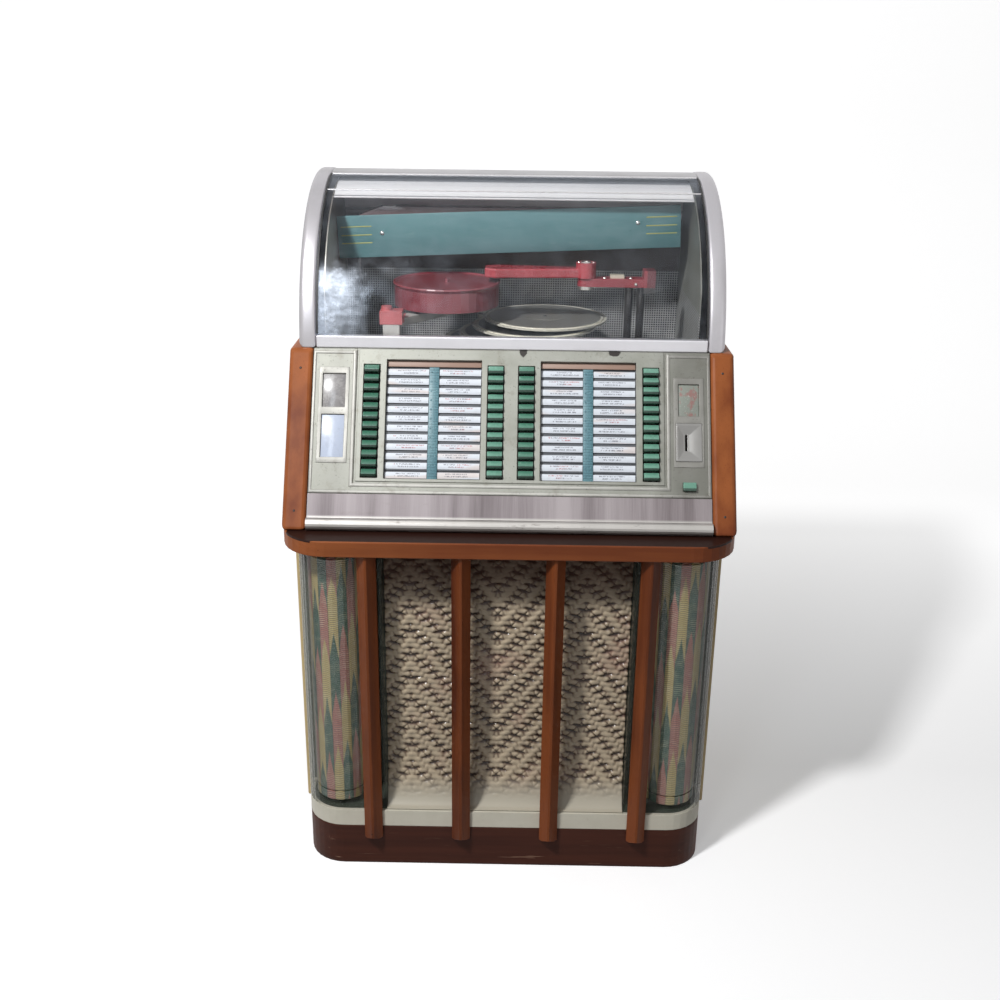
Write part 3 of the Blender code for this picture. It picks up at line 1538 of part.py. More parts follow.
def build_turntable_carrier():
    """Post at the left with an arm and a boss that carry the turntable's hub."""
    x, y = turntable_axis()
    post_x, post_y = x + CARRIER_POST_X, y + CARRIER_POST_Y
    arm_top = TURNTABLE_BOTTOM - CARRIER_DROP
    arm_low = arm_top - CARRIER_ARM_THICKNESS
    half = CARRIER_POST / 2
    post = box(
        "turntable_carrier",
        (post_x - half, post_y - half, DECK_TOP + GAP),
        (post_x + half, post_y + half, arm_top),
        grey_paint(),
    )
    reach = math.hypot(CARRIER_POST_X, CARRIER_POST_Y)
    turn = Matrix.Translation((post_x, post_y, (arm_top + arm_low) / 2)) @ Matrix.Rotation(
        math.atan2(-CARRIER_POST_Y, -CARRIER_POST_X), 4, "Z"
    )
    arm_half = CARRIER_ARM_WIDTH / 2
    outline = [(0, -arm_half), (reach, -arm_half)]
    outline += arc((reach, 0), arm_half, -math.pi / 2, math.pi / 2, 8)[1:] + [(0, arm_half)]
    arm = plate("carrier_arm", [outline], CARRIER_ARM_THICKNESS, None, turn)
    hub_bottom = TURNTABLE_TOP - TURNTABLE_WALL - TURNTABLE_HUB_DEPTH
    boss = rod("carrier_boss", CARRIER_BOSS_RADIUS, arm_low + arm_half / 2, hub_bottom - GAP, (x, y))
    join(post, arm, boss, *lift_lug(post_x, post_y, arm_top))


def lift_lug(x, y, top):
    """Lug clamped over the top of the carrier post, with its bolt boss."""
    width, depth, height = LUG_SIZE
    sunk = top - height / 2
    block = box("lift_lug", (x - width / 2, y - depth / 2, sunk), (x + width / 2, y + depth / 2, top + height))
    boss_top = top + height + LUG_BOSS_HEIGHT
    boss = rod("lift_lug_boss", LUG_BOSS_RADIUS, top, boss_top, (x - LUG_BOSS_OFFSET, y), sides=16)
    return [block, boss]


def build_tonearm_support():
    """Two dark posts with the fixed red bracket that reaches over the records to the arm's pivot."""
    y = PIVOT_Y
    top = ARM_BOTTOM - GAP
    low = top - BRACKET_THICKNESS
    half = BRACKET_WIDTH / 2
    far = PIVOT_X + BRACKET_REACH
    outline = arc((PIVOT_X, y), half, math.pi / 2, 1.5 * math.pi, 8) + [(far, y - half), (far, y + half)]
    bracket = slab("tonearm_support", [outline], low, top, mechanism_red())
    pieces = []
    for index in range(2):
        x = far - SUPPORT_POST_RADIUS - index * SUPPORT_POST_SPACING
        pieces.append(
            rod(
                f"support_post_{index}", SUPPORT_POST_RADIUS, DECK_TOP + GAP,
                low + BRACKET_THICKNESS / 2, (x, y), sides=12,
            )
        )
    width, depth, height = SUPPORT_BLOCK
    pieces.append(
        box(
            "support_block",
            (far - width / 4, y - depth / 2, low - height / 4),
            (far + width, y + depth / 2, low + height * 3 / 4),
        )
    )
    middle = (low + top) / 2
    pieces.append(rod("pivot_cup", PIVOT_CUP_RADIUS, low - PIVOT_CUP_HEIGHT, middle, (PIVOT_X, y), sides=20))
    clip_width, clip_depth, clip_height = CLIP_SIZE
    clip_x = PIVOT_X + CLIP_REACH
    pieces.append(
        box(
            "lead_clip",
            (clip_x - clip_width / 2, y - clip_depth / 2, middle),
            (clip_x + clip_width / 2, y + clip_depth / 2, top + clip_height),
        )
    )
    join(bracket, *pieces)


def build_tonearm():
    """Tapered arm with a broad head over the turntable and a round pivot block."""
    low = ARM_BOTTOM
    high = low + ARM_THICKNESS
    root, head = ARM_PIVOT_WIDTH / 2, ARM_HEAD_WIDTH / 2
    tip = -ARM_LENGTH
    outline = [
        (0, -root),
        (0, root),
        (tip + ARM_HEAD_LENGTH, head * ARM_NECK_share),
        (tip + ARM_HEAD_LENGTH / 3, head),
        (tip, head * ARM_TIP_share),
        (tip, -head * ARM_TIP_share),
        (tip + ARM_HEAD_LENGTH / 3, -head),
        (tip + ARM_HEAD_LENGTH, -head * ARM_NECK_share),
    ]
    outline = [(PIVOT_X + x, PIVOT_Y + y) for x, y in outline]
    arm = slab("tonearm", [outline], low, high, mechanism_red())
    round_edges(arm, ARM_THICKNESS / 6)
    block = rod("tonearm_pivot", PIVOT_RADIUS, low, low + PIVOT_HEIGHT, (PIVOT_X, PIVOT_Y), sides=24)
    join(arm, block)
    set_origin(arm, (PIVOT_X, PIVOT_Y, low))


def build_tray_post():
    """Upright post that the record trays swing on, with a collar under each tray."""
    top = tray_height(0) + TRAY_SLEEVE_HEIGHT
    radius = TRAY_POST_RADIUS
    collar = TRAY_SLEEVE_RADIUS
    profile = [(0, top), (radius, top)]
    for index in range(TRAY_COUNT):
        under = tray_height(index) - GAP
        profile += [(radius, under), (collar, under)]
        if index < TRAY_COUNT - 1:
            step = tray_height(index + 1) + TRAY_SLEEVE_HEIGHT + GAP
            profile += [(collar, step), (radius, step)]
    profile += [(collar, DECK_TOP + GAP), (0, DECK_TOP + GAP)]
    axis = Matrix.Translation((TRAY_POST_X, TRAY_POST_Y, 0))
    smooth(turned("tray_post", profile, brushed_steel(), 16, matrix=axis))


def tray_height(index):
    """Underside of a tray, with index 0 at the top."""
    return DECK_TOP + TRAY_TOP_RISE - index * TRAY_PITCH


def build_tray(index):
    """One tray with its record: a lipped disc on an arm that swings on the tray post."""
    base = tray_height(index)
    lip_top = base + TRAY_THICKNESS + TRAY_LIP
    floor = base + TRAY_THICKNESS
    record = floor + RECORD_THICKNESS
    label = record + RECORD_LABEL_RAISE
    hole = RECORD_HOLE_RADIUS
    profile = [
        (hole, label),
        (RECORD_LABEL_RADIUS, label),
        (RECORD_LABEL_RADIUS, record),
        (RECORD_RADIUS, record),
        (RECORD_RADIUS, floor),
        (TRAY_RADIUS - TRAY_LIP_WIDTH, floor),
        (TRAY_RADIUS - TRAY_LIP_WIDTH / 2, lip_top),
        (TRAY_RADIUS, lip_top),
        (TRAY_RADIUS, base),
        (hole, base),
    ]
    axis = tray_axis(index)
    seat = Matrix.Translation((TRAY_ARM, 0, 0))
    disc = turned(f"tray_{index + 1}", profile, satin_aluminium(), 36, axis, seat, bored=True)
    sleeve_top = base + TRAY_SLEEVE_HEIGHT
    sleeve = rod(f"tray_sleeve_{index}", TRAY_SLEEVE_RADIUS, base, sleeve_top, (0, 0), None, axis, 16)
    arm = box(
        f"tray_arm_{index}",
        (0, -TRAY_ARM_WIDTH / 2, base),
        (TRAY_ARM - RECORD_RADIUS, TRAY_ARM_WIDTH / 2, floor + TRAY_LIP / 2),
        parent=axis,
    )
    bore_radius = TRAY_POST_RADIUS + BEARING_PLAY
    bore = rod(
        f"tray_bore_{index}", bore_radius, base - OVERRUN, sleeve_top + OVERRUN, (0, 0), None, axis, 16
    )
    join(disc, sleeve, arm)
    cut(disc, bore)


def tray_axis(index):
    """Empty on the tray post, turned to where the tray rests, which carries the tray."""
    axis = bpy.data.objects.new(f"tray_axis_{index + 1}", None)
    parts.objects.link(axis)
    axis.location = (TRAY_POST_X, TRAY_POST_Y, 0)
    axis.rotation_euler = (0, 0, TRAY_HOME_ANGLE - index * TRAY_FAN)
    return axis


def main():
    """Builds the whole jukebox."""
    global parts, cutters
    clear_scene()
    parts = new_collection("jukebox")
    cutters = new_collection("jukebox_cutters")
    cutters.hide_render = True
    build_plinth()
    build_trim_band()
    build_cabinet_case()
    mirrored_names("side_panel", build_side_panel)
    build_baffle_board()
    build_speaker()
    build_amplifier()
    build_cash_box()
    build_grille_panel()
    build_fins()
    mirrored_names("pilaster_cover", build_pilaster_cover)
    mirrored_names("colour_cylinder", build_colour_cylinder)
    build_ledge_moulding()
    mirrored_names("cheek", build_cheek)
    build_upper_back()
    build_selector_section()
    mirrored_names("dome_casting", build_dome_casting)
    build_dome_glass()
    build_dome_rail()
    build_dome_rear()
    build_rear_door()
    build_mechanism_base()
    build_inner_screen()
    build_inner_hood()
    build_header_board()
    build_turntable()
    build_turntable_carrier()
    build_tonearm_support()
    build_tonearm()
    build_tray_post()
    for index in range(TRAY_COUNT):
        build_tray(index)


if __name__ == "__main__":
    main()
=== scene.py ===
"""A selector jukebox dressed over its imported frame: finishes, trim, cards, camera and light."""

from __future__ import annotations

import logging
import math
import sys
from collections.abc import Callable, Sequence
from dataclasses import dataclass
from enum import Enum
from typing import Any

import bmesh
import bpy
import numpy as np
from mathutils import Matrix, Vector


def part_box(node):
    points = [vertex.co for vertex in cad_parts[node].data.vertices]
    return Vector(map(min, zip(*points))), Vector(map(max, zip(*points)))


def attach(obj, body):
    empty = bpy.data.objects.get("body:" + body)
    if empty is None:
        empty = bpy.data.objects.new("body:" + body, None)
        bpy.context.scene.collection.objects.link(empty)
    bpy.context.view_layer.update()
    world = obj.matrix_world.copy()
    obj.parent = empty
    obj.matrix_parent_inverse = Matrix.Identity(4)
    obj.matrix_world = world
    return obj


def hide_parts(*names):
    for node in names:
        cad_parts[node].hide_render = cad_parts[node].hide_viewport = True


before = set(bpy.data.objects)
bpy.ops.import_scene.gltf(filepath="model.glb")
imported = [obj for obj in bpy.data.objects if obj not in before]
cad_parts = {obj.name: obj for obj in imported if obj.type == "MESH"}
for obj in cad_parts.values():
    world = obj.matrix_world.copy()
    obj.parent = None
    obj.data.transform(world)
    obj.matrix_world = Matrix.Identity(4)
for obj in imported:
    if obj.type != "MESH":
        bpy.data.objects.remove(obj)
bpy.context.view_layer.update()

LOG = logging.getLogger("jukebox")

Colour = tuple[float, float, float]
Point = tuple[float, float, float]
Pair = tuple[float, float]
Material = bpy.types.Material
Shape = bmesh.types.BMesh
Build = Callable[[Shape], None]


# Shader tools


class Signal:
    """One socket of a material, on which Python's operators add Math nodes."""

    def __init__(self, bench: Bench, socket: bpy.types.NodeSocket) -> None:
        """Wraps a socket.

        Args:
            bench: The material that the socket belongs to.
            socket: The output that the signal stands for.
        """
        self.bench = bench
        self.socket = socket

    def _math(self, operation: str, left: Value, right: Value) -> Signal:
        """Adds a Math node of two inputs.

        Args:
            operation: The Math node's operation.
            left: Its first input.
            right: Its second input.

        Returns:
            The node's value.
        """
        return self.bench.node("ShaderNodeMath", {"operation": operation}, {0: left, 1: right})

    def __add__(self, other: Value) -> Signal:
        """self + other."""
        return self._math("ADD", self, other)

    def __radd__(self, other: Value) -> Signal:
        """other + self."""
        return self._math("ADD", other, self)

    def __sub__(self, other: Value) -> Signal:
        """self - other."""
        return self._math("SUBTRACT", self, other)

    def __rsub__(self, other: Value) -> Signal:
        """other - self."""
        return self._math("SUBTRACT", other, self)

    def __mul__(self, other: Value) -> Signal:
        """self * other."""
        return self._math("MULTIPLY", self, other)

    def __truediv__(self, other: Value) -> Signal:
        """self / other."""
        return self._math("DIVIDE", self, other)

    def __pow__(self, other: Value) -> Signal:
        """self ** other."""
        return self._math("POWER", self, other)

    def __gt__(self, other: Value) -> Signal:
        """1 where self is above other, else 0."""
        return self._math("GREATER_THAN", self, other)

    def __lt__(self, other: Value) -> Signal:
        """1 where self is below other, else 0."""
        return self._math("LESS_THAN", self, other)

    def __abs__(self) -> Signal:
        """The size of self without its sign."""
        return self._math("ABSOLUTE", self, 0.0)

    def fraction(self) -> Signal:
        """The part after the decimal point."""
        return self._math("FRACT", self, 0.0)

    def whole(self) -> Signal:
        """The whole number at or below self."""
        return self._math("FLOOR", self, 0.0)

    def sine(self) -> Signal:
        """The sine of self in radians."""
        return self._math("SINE", self, 0.0)

    def root(self) -> Signal:
        """The square root."""
        return self._math("SQRT", self, 0.0)

    def turn_from(self, other: Value) -> Signal:
        """The angle of a point whose height is self and whose reach is other."""
        return self._math("ARCTAN2", self, other)

    def clamped(self) -> Signal:
        """self kept between 0 and 1."""
        return self._math("MINIMUM", self._math("MAXIMUM", self, 0.0), 1.0)


Value = Signal | float


class Bench:
    """A material's node tree, with one method that adds any node."""

    def __init__(self, name: str) -> None:
        """Starts a material with its Principled shader.

        Args:
            name: The material's name.
        """
        self.material = bpy.data.materials.new(name)
        self.material.use_nodes = True
        self.tree = self.material.node_tree
        self.shader = self.tree.nodes["Principled BSDF"]
        self._place: Signal | None = None
        self._soft: Signal | None = None

    def node(
        self,
        kind: str,
        settings: dict[str, Any] | None = None,
        inputs: dict[int | str, Any] | None = None,
        output: int | str = 0,
    ) -> Signal:
        """Adds one node.

        Args:
            kind: The node's type.
            settings: Its settings, such as an operation or a ramp's stops, which are set first.
            inputs: Values or signals for its sockets, by name or place.
            output: The socket to give back.

        Returns:
            The chosen output.
        """
        made = self.tree.nodes.new(kind)
        for name, value in (settings or {}).items():
            if name == "stops":
                ramp = made.color_ramp
                while len(ramp.elements) < len(value):
                    ramp.elements.new(1.0)
                for element, (place, colour) in zip(ramp.elements, value):
                    element.position = place
                    element.color = (*colour, 1.0)
            else:
                setattr(made, name, value)
        for key, value in (inputs or {}).items():
            self.feed(made.inputs[key], value)
        return Signal(self, made.outputs[output])

    def feed(self, socket: bpy.types.NodeSocket, value: Any) -> None:
        """Links a signal to a socket, or sets the socket's value.

        Args:
            socket: The input to fill.
            value: A signal, a number, or three numbers for a colour or vector.
        """
        if isinstance(value, Signal):
            self.tree.links.new(value.socket, socket)
        elif socket.type == "RGBA" and len(value) == 3:
            socket.default_value = (*value, 1.0)
        else:
            socket.default_value = value

    def place(self) -> Signal:
        """The point on the surface, in the piece's own frame."""
        if self._place is None:
            self._place = self.node("ShaderNodeTexCoord", output="Object")
        return self._place

    def axes(self) -> tuple[Signal, Signal, Signal]:
        """The point's X, Y and Z as three signals."""
        parts = self.node("ShaderNodeSeparateXYZ", inputs={0: self.place()})
        split = parts.socket.node
        return parts, Signal(self, split.outputs[1]), Signal(self, split.outputs[2])

    def stretched(self, scale: Point) -> Signal:
        """The point with each axis scaled, for grain and streaks."""
        return self.node("ShaderNodeMapping", inputs={"Vector": self.place(), "Scale": scale})

    def noise(self, scale: float, detail: float = 3.0, rough: float = 0.5, where: Signal | None = None) -> Signal:
        """Cloudy noise from 0 to 1.

        Args:
            scale: Clouds per metre.
            detail: How many finer layers it has.
            rough: How strong the finer layers are.
            where: The point it is read at, or None for the surface's own.

        Returns:
            The noise.
        """
        settings = {"Vector": where or self.place(), "Scale": scale, "Detail": detail, "Roughness": rough}
        return self.node("ShaderNodeTexNoise", inputs=settings)

    def ramp(self, factor: Value, stops: Sequence[tuple[float, Colour]]) -> Signal:
        """A colour ramp over a factor."""
        return self.node("ShaderNodeValToRGB", {"stops": stops}, {0: factor})

    def level(self, factor: Value, low: float, high: float) -> Signal:
        """A factor stretched so that low becomes 0 and high becomes 1, and kept there."""
        settings = {"Value": factor, "From Min": low, "From Max": high}
        return self.node("ShaderNodeMapRange", {"clamp": True}, settings)

    def mix(self, factor: Value, first: Any, second: Any) -> Signal:
        """The first colour where the factor is 0 and the second where it is 1."""
        return self.node(
            "ShaderNodeMix", {"data_type": "RGBA", "clamp_factor": True}, {0: factor, 6: first, 7: second}, 2
        )

    def slant(self) -> Signal:
        """0 where the surface is seen face on, to 1 where it is seen edge on."""
        return self.node("ShaderNodeLayerWeight", inputs={"Blend": 0.5}, output="Facing")

    def attribute(self, name: str) -> Signal:
        """A number that the mesh holds for each of its points."""
        return self.node("ShaderNodeAttribute", {"attribute_name": name}, output="Fac")

    def within(self, low: Point, high: Point) -> Signal:
        """1 inside a box of the row frame, else 0."""
        inside: Value = 1.0
        for value, start, end in zip(self.axes(), low, high):
            inside = (value > start) * (value < end) * inside
        return inside

    def soften(self, radius: float) -> None:
        """Rounds the shading of sharp edges over a radius in metres."""
        self._soft = self.node("ShaderNodeBevel", {"samples": 4}, {"Radius": radius})

    def edges(self, radius: float, low: float = 0.02, high: float = 0.25) -> Signal:
        """1 along sharp edges and 0 on flat faces.

        Args:
            radius: How far from an edge it reaches, in metres.
            low: How much the rounded normal turns before the mask starts.
            high: How much it turns where the mask is full.

        Returns:
            The mask.
        """
        rounded = self.node("ShaderNodeBevel", {"samples": 6}, {"Radius": radius})
        flat = self.node("ShaderNodeNewGeometry", output="Normal")
        same = self.node("ShaderNodeVectorMath", {"operation": "DOT_PRODUCT"}, {0: rounded, 1: flat}, "Value")
        return self.level(1 - same, low, high)

    def bump(self, height: Value, depth: float, strength: float = 1.0) -> None:
        """Feeds a Bump node's normal to the shader.

        Args:
            height: The relief, from 0 to 1.
            depth: Its depth in metres.
            strength: How strongly it shades.
        """
        inputs = {"Height": height, "Distance": depth, "Strength": strength}
        if self._soft is not None:
            inputs["Normal"] = self._soft
        self.feed(self.shader.inputs["Normal"], self.node("ShaderNodeBump", inputs=inputs))

    def finish(self, **sockets: Any) -> Material:
        """Fills the shader's sockets, with underscores for the spaces of their names.

        Args:
            sockets: Values or signals by socket name.

        Returns:
            The material.
        """
        for name, value in sockets.items():
            self.feed(self.shader.inputs[name.replace("_", " ")], value)
        return self.material


# Finishes


def paler(colour: Colour, gain: float = 1.35) -> Colour:
    """A paler tone of a colour."""
    return tuple(min(value * gain + 0.02, 1.0) for value in colour)


class Grain(Enum):
    """Which way a wood's grain or a metal's brushing runs, as scales across X, Y and Z."""

    UPRIGHT = (1.0, 1.0, 0.06)
    ALONG_X = (0.05, 1.0, 1.0)
    ALONG_Y = (1.0, 0.06, 1.0)


@dataclass(frozen=True)
class VarnishedWood:
    """Stained wood under old clear varnish, with grain, pores, rubbed edges and small knocks.

    A box of the row frame may carry painted shade, as the ledge's top does under the apron's roll.
    """

    name: str
    light: Colour = (0.310, 0.094, 0.029)
    dark: Colour = (0.175, 0.042, 0.014)
    grain: Grain = Grain.UPRIGHT
    coat: float = 0.08
    roughness: float = 0.42
    rubbed: float = 0.55
    darkened: tuple[Point, Point] | None = None
    painted_shade_colour: Colour = (0.018, 0.006, 0.004)

    def material(self) -> Material:
        """The finished material."""
        bench = Bench(self.name)
        along = bench.stretched(self.grain.value)
        figure = bench.noise(16.0, 4.0, 0.55, along)
        pores = bench.noise(420.0, 2.0, 0.6, along)
        patches = bench.noise(5.0, 2.0)
        tone = (bench.level(figure, 0.30, 0.70) * 0.55 + patches * 0.60 - 0.06).clamped()
        colour = bench.ramp(tone, ((0.25, self.dark), (0.60, self.light), (0.92, self.brightest())))
        colour = bench.mix(bench.level(pores, 0.60, 0.74) * 0.5, colour, self.dark)
        edge = bench.edges(0.0035)
        patchy = bench.level(bench.noise(48.0, 3.0, 0.7), 0.42, 0.62)
        colour = bench.mix(edge * patchy * self.rubbed, colour, self.brightest(1.7))
        # Painted shade: inside the box the wood goes nearly black, standing for the shade under the apron's roll.
        if self.darkened:
            colour = bench.mix(bench.within(*self.darkened), colour, self.painted_shade_colour)
        knocks = bench.level(bench.noise(64.0, 3.0, 0.6), 0.735, 0.755)
        colour = bench.mix(knocks * 0.8, colour, (0.030, 0.012, 0.007))
        bench.soften(0.0022)
        bench.bump(pores * 0.6 + figure * 0.4 - knocks, 0.0004, 0.35)
        rough = bench.level(patches, 0.3, 0.7) * 0.12 + self.roughness
        return bench.finish(
            Base_Color=colour, Roughness=rough, Coat_Weight=self.coat, Coat_Roughness=0.16, Specular_IOR_Level=0.10
        )

    def brightest(self, gain: float = 1.25) -> Colour:
        """The colour of the palest streaks, or of rubbed edges with a higher gain."""
        return tuple(min(value * gain + (gain - 1.25) * 0.03, 1.0) for value in self.light)


@dataclass(frozen=True)
class PlinthStain:
    """Nearly black stained skirting, scuffed near the floor."""

    name: str = "plinth_stain"

    def material(self) -> Material:
        """The finished material."""
        bench = Bench(self.name)
        _, _, height = bench.axes()
        along = bench.stretched((0.05, 1.0, 1.0))
        figure = bench.noise(26.0, 4.0, 0.6, along)
        colour = bench.ramp(figure, ((0.3, (0.034, 0.0095, 0.0058)), (0.75, (0.078, 0.024, 0.014))))
        scratch = bench.level(bench.noise(130.0, 3.0, 0.7, along), 0.66, 0.72)
        low = 1 - bench.level(height, 0.006, 0.075)
        colour = bench.mix(scratch * (low * 0.6 + 0.10), colour, (0.32, 0.19, 0.13))
        scuffed = bench.edges(0.0045) * bench.level(bench.noise(38.0, 4.0, 0.7), 0.40, 0.60)
        colour = bench.mix(scuffed * 0.55, colour, (0.21, 0.095, 0.055))
        bench.soften(0.010)
        bench.bump(figure + scratch * 0.4, 0.0004, 0.3)
        return bench.finish(Base_Color=colour, Roughness=figure * 0.2 + 0.40, Specular_IOR_Level=0.12)


@dataclass(frozen=True)
class AgedPaint:
    """Brushed or sprayed paint that has yellowed, picked up dirt and darkened at its edges."""

    name: str
    colour: Colour
    dirt: Colour
    roughness: float = 0.45
    dirt_share: float = 0.4
    relief: float = 0.0002

    def material(self) -> Material:
        """The finished material."""
        bench = Bench(self.name)
        clouds = bench.noise(7.0, 5.0, 0.65)
        grains = bench.noise(320.0, 2.0)
        spots = bench.level(bench.noise(70.0, 4.0, 0.7), 0.62, 0.75)
        grimy = bench.edges(0.003) * bench.level(bench.noise(30.0, 3.0), 0.35, 0.65)
        dirty = (bench.level(clouds, 0.42, 0.78) * self.dirt_share + spots * 0.2 + grimy * 0.35).clamped()
        bench.soften(0.0015)
        bench.bump(grains, self.relief, 0.4)
        colour = bench.mix(dirty, self.colour, self.dirt)
        return bench.finish(Base_Color=colour, Roughness=dirty * 0.2 + self.roughness, Specular_IOR_Level=0.5)


@dataclass(frozen=True)
class SatinCasting:
    """Cast or rolled aluminium, rubbed to a satin and slightly stained."""

    name: str
    colour: Colour = (0.500, 0.485, 0.510)
    stain: Colour = (0.330, 0.318, 0.318)
    grain: Grain = Grain.ALONG_Y
    roughness: float = 0.34
    metallic: float = 0.85

    def material(self) -> Material:
        """The finished material."""
        bench = Bench(self.name)
        streaks = bench.noise(260.0, 3.0, 0.6, bench.stretched(self.grain.value))
        clouds = bench.noise(9.0, 4.0, 0.6)
        worn = bench.level(clouds, 0.45, 0.8)
        grimy = bench.edges(0.0025) * bench.level(bench.noise(55.0, 3.0), 0.45, 0.65)
        colour = bench.mix(worn * 0.5 + streaks * 0.12, self.colour, self.stain)
        colour = bench.mix(grimy * 0.3, colour, (0.16, 0.15, 0.14))
        rough = streaks * 0.12 + worn * 0.08 + self.roughness - 0.06
        bench.soften(0.003)
        bench.bump(streaks, 0.0001, 0.25)
        return bench.finish(Base_Color=colour, Roughness=rough, Metallic=self.metallic)


@dataclass(frozen=True)
class PittedPanel:
    """Grey-silver cast panel: mottled, pitted, with painted shade at both ends, chipped at its top edge.

    Its steps carry grime and painted shade. Each chip has its middle along X, its half width and how
    far down it reaches.
    """

    name: str = "pitted_panel"
    colour: Colour = (0.265, 0.268, 0.232)
    pale: Colour = (0.350, 0.352, 0.318)
    grime: Colour = (0.125, 0.105, 0.072)
    end_shade_colour: Colour = (0.055, 0.050, 0.042)
    left_end: Pair = (-0.345, -0.300)
    right_end: Pair = (0.285, 0.335)
    chips: tuple[tuple[float, float, float], ...] = ((0.024, 0.0085, 0.010), (0.208, 0.0130, 0.007))
    top: float = 1.0855

    def material(self) -> Material:
        """The finished material."""
        bench = Bench(self.name)
        x, _, height = bench.axes()
        clouds = bench.noise(11.0, 5.0, 0.65)
        grains = bench.noise(520.0, 2.0, 0.6)
        ragged = bench.noise(190.0, 3.0, 0.7)
        pits = bench.level(bench.noise(240.0, 2.0, 0.5), 0.66, 0.74)
        colour = bench.mix(bench.level(clouds, 0.35, 0.75), self.colour, self.pale)
        colour = bench.mix(bench.level(bench.noise(34.0, 4.0, 0.7), 0.56, 0.80) * 0.55, colour, self.grime)
        # Grime and painted shade along the steps.
        step_grime_and_shade = bench.edges(0.0024) * bench.level(bench.noise(42.0, 3.0, 0.6), 0.32, 0.56)
        colour = bench.mix(step_grime_and_shade * 0.75, colour, (0.085, 0.070, 0.048))
        # Painted shade towards both ends, strongest at the right.
        painted_end_shade = bench.level(x, *self.right_end) * 0.48 + (1 - bench.level(x, *self.left_end)) * 0.22
        colour = bench.mix(painted_end_shade, colour, self.end_shade_colour)
        bare = pits * 0.45
        for middle, half, drop in self.chips:
            east, down = (x - middle) / half, (height - self.top) / drop
            bare = bare + bench.level(east * east + down * down + ragged * 1.6, 1.75, 1.55)
        colour = bench.mix(bare.clamped(), colour, (0.016, 0.012, 0.010))
        bench.soften(0.0016)
        bench.bump(grains - pits * 0.8, 0.0003, 0.5)
        rough = bench.level(clouds, 0.3, 0.7) * 0.15 + 0.40
        return bench.finish(Base_Color=colour, Roughness=rough, Metallic=0.3)


@dataclass(frozen=True)
class BrushedSteel:
    """Mauve-grey steel, with soft bands up the slope, painted shade to the left and scratches along its rolled foot."""

    name: str = "brushed_apron"
    roll_top: float = 0.792
    darker_side: Pair = (-0.42, 0.30)

    def material(self) -> Material:
        """The finished material."""
        bench = Bench(self.name)
        x, _, height = bench.axes()
        along = bench.stretched((1.0, 0.02, 0.02))
        fine = bench.noise(900.0, 2.0, 0.5, along)
        broad = bench.noise(15.0, 3.0, 0.55, along)
        tone = broad * 0.85 + fine * 0.15
        stops = ((0.36, (0.150, 0.126, 0.130)), (0.50, (0.262, 0.230, 0.236)), (0.64, (0.345, 0.310, 0.315)))
        colour = bench.ramp(tone, stops)
        foot = 1 - bench.level(height, self.roll_top - 0.004, self.roll_top)
        colour = bench.mix(foot * 0.8, colour, (0.50, 0.485, 0.455))
        scratch = bench.level(bench.noise(75.0, 4.0, 0.75, bench.stretched((0.3, 1.0, 1.6))), 0.60, 0.68)
        colour = bench.mix(scratch * (foot * 0.55 + 0.06), colour, (0.13, 0.11, 0.10))
        # Painted shade over the apron's left, above its foot.
        shaded = (1 - bench.level(x, *self.darker_side)) * (1 - foot)
        colour = bench.mix(shaded * 0.55, colour, (0.060, 0.052, 0.054))
        bench.soften(0.001)
        bench.bump(fine + scratch * 0.5, 0.00008, 0.3)
        rough = broad * 0.10 + fine * 0.08 + 0.31 + scratch * 0.1
        return bench.finish(Base_Color=colour, Roughness=rough, Metallic=0.7)


@dataclass(frozen=True)
class ClearSheet:
    """Curved glass: a faint mirror that strengthens where it is seen at a slant, with wiped smears.

    Its lower left corner carries a painted glare: a mottled patch of stronger, rougher mirror,
    left of one X and below one height.
    """

    name: str
    colour: Colour = (0.80, 0.88, 1.0)
    facing: float = 0.014
    slanted: float = 0.55
    smears: float = 0.020
    glare_side: float = -0.405
    glare_top: float = 1.250

    def material(self) -> Material:
        """The finished material."""
        bench = Bench(self.name)
        x, _, height = bench.axes()
        wiped = bench.noise(9.0, 5.0, 0.7, bench.stretched((1.0, 1.0, 0.6)))
        haze = bench.level(wiped, 0.46, 0.78)
        mottled = bench.level(bench.noise(26.0, 5.0, 0.75), 0.34, 0.66)
        coarse, fine = bench.noise(15.0, 5.0, 0.75), bench.noise(60.0, 4.0, 0.8)
        glare_mottle = bench.level(coarse, 0.30, 0.72) * bench.level(fine, 0.25, 0.75)
        # Painted glare at the lower left corner: more mirror and more roughness, in mottled patches.
        ragged = bench.noise(11.0, 4.0, 0.7) * 0.12 - 0.06
        beside = 1 - bench.level(x + ragged, self.glare_side + 0.035, self.glare_side + 0.125)
        corner = beside * (1 - bench.level(height + ragged * 0.7, self.glare_top - 0.060, self.glare_top))
        cover = bench.slant() ** 4.0 * self.slanted + haze * self.smears + (mottled * 1.3 + 0.35) * self.facing
        cover = cover + corner * (glare_mottle * 0.40 + 0.06)
        rough = mottled * 0.16 + 0.10 + corner * 0.45
        return bench.finish(Base_Color=self.colour, Alpha=cover, Roughness=rough, Metallic=1.0)


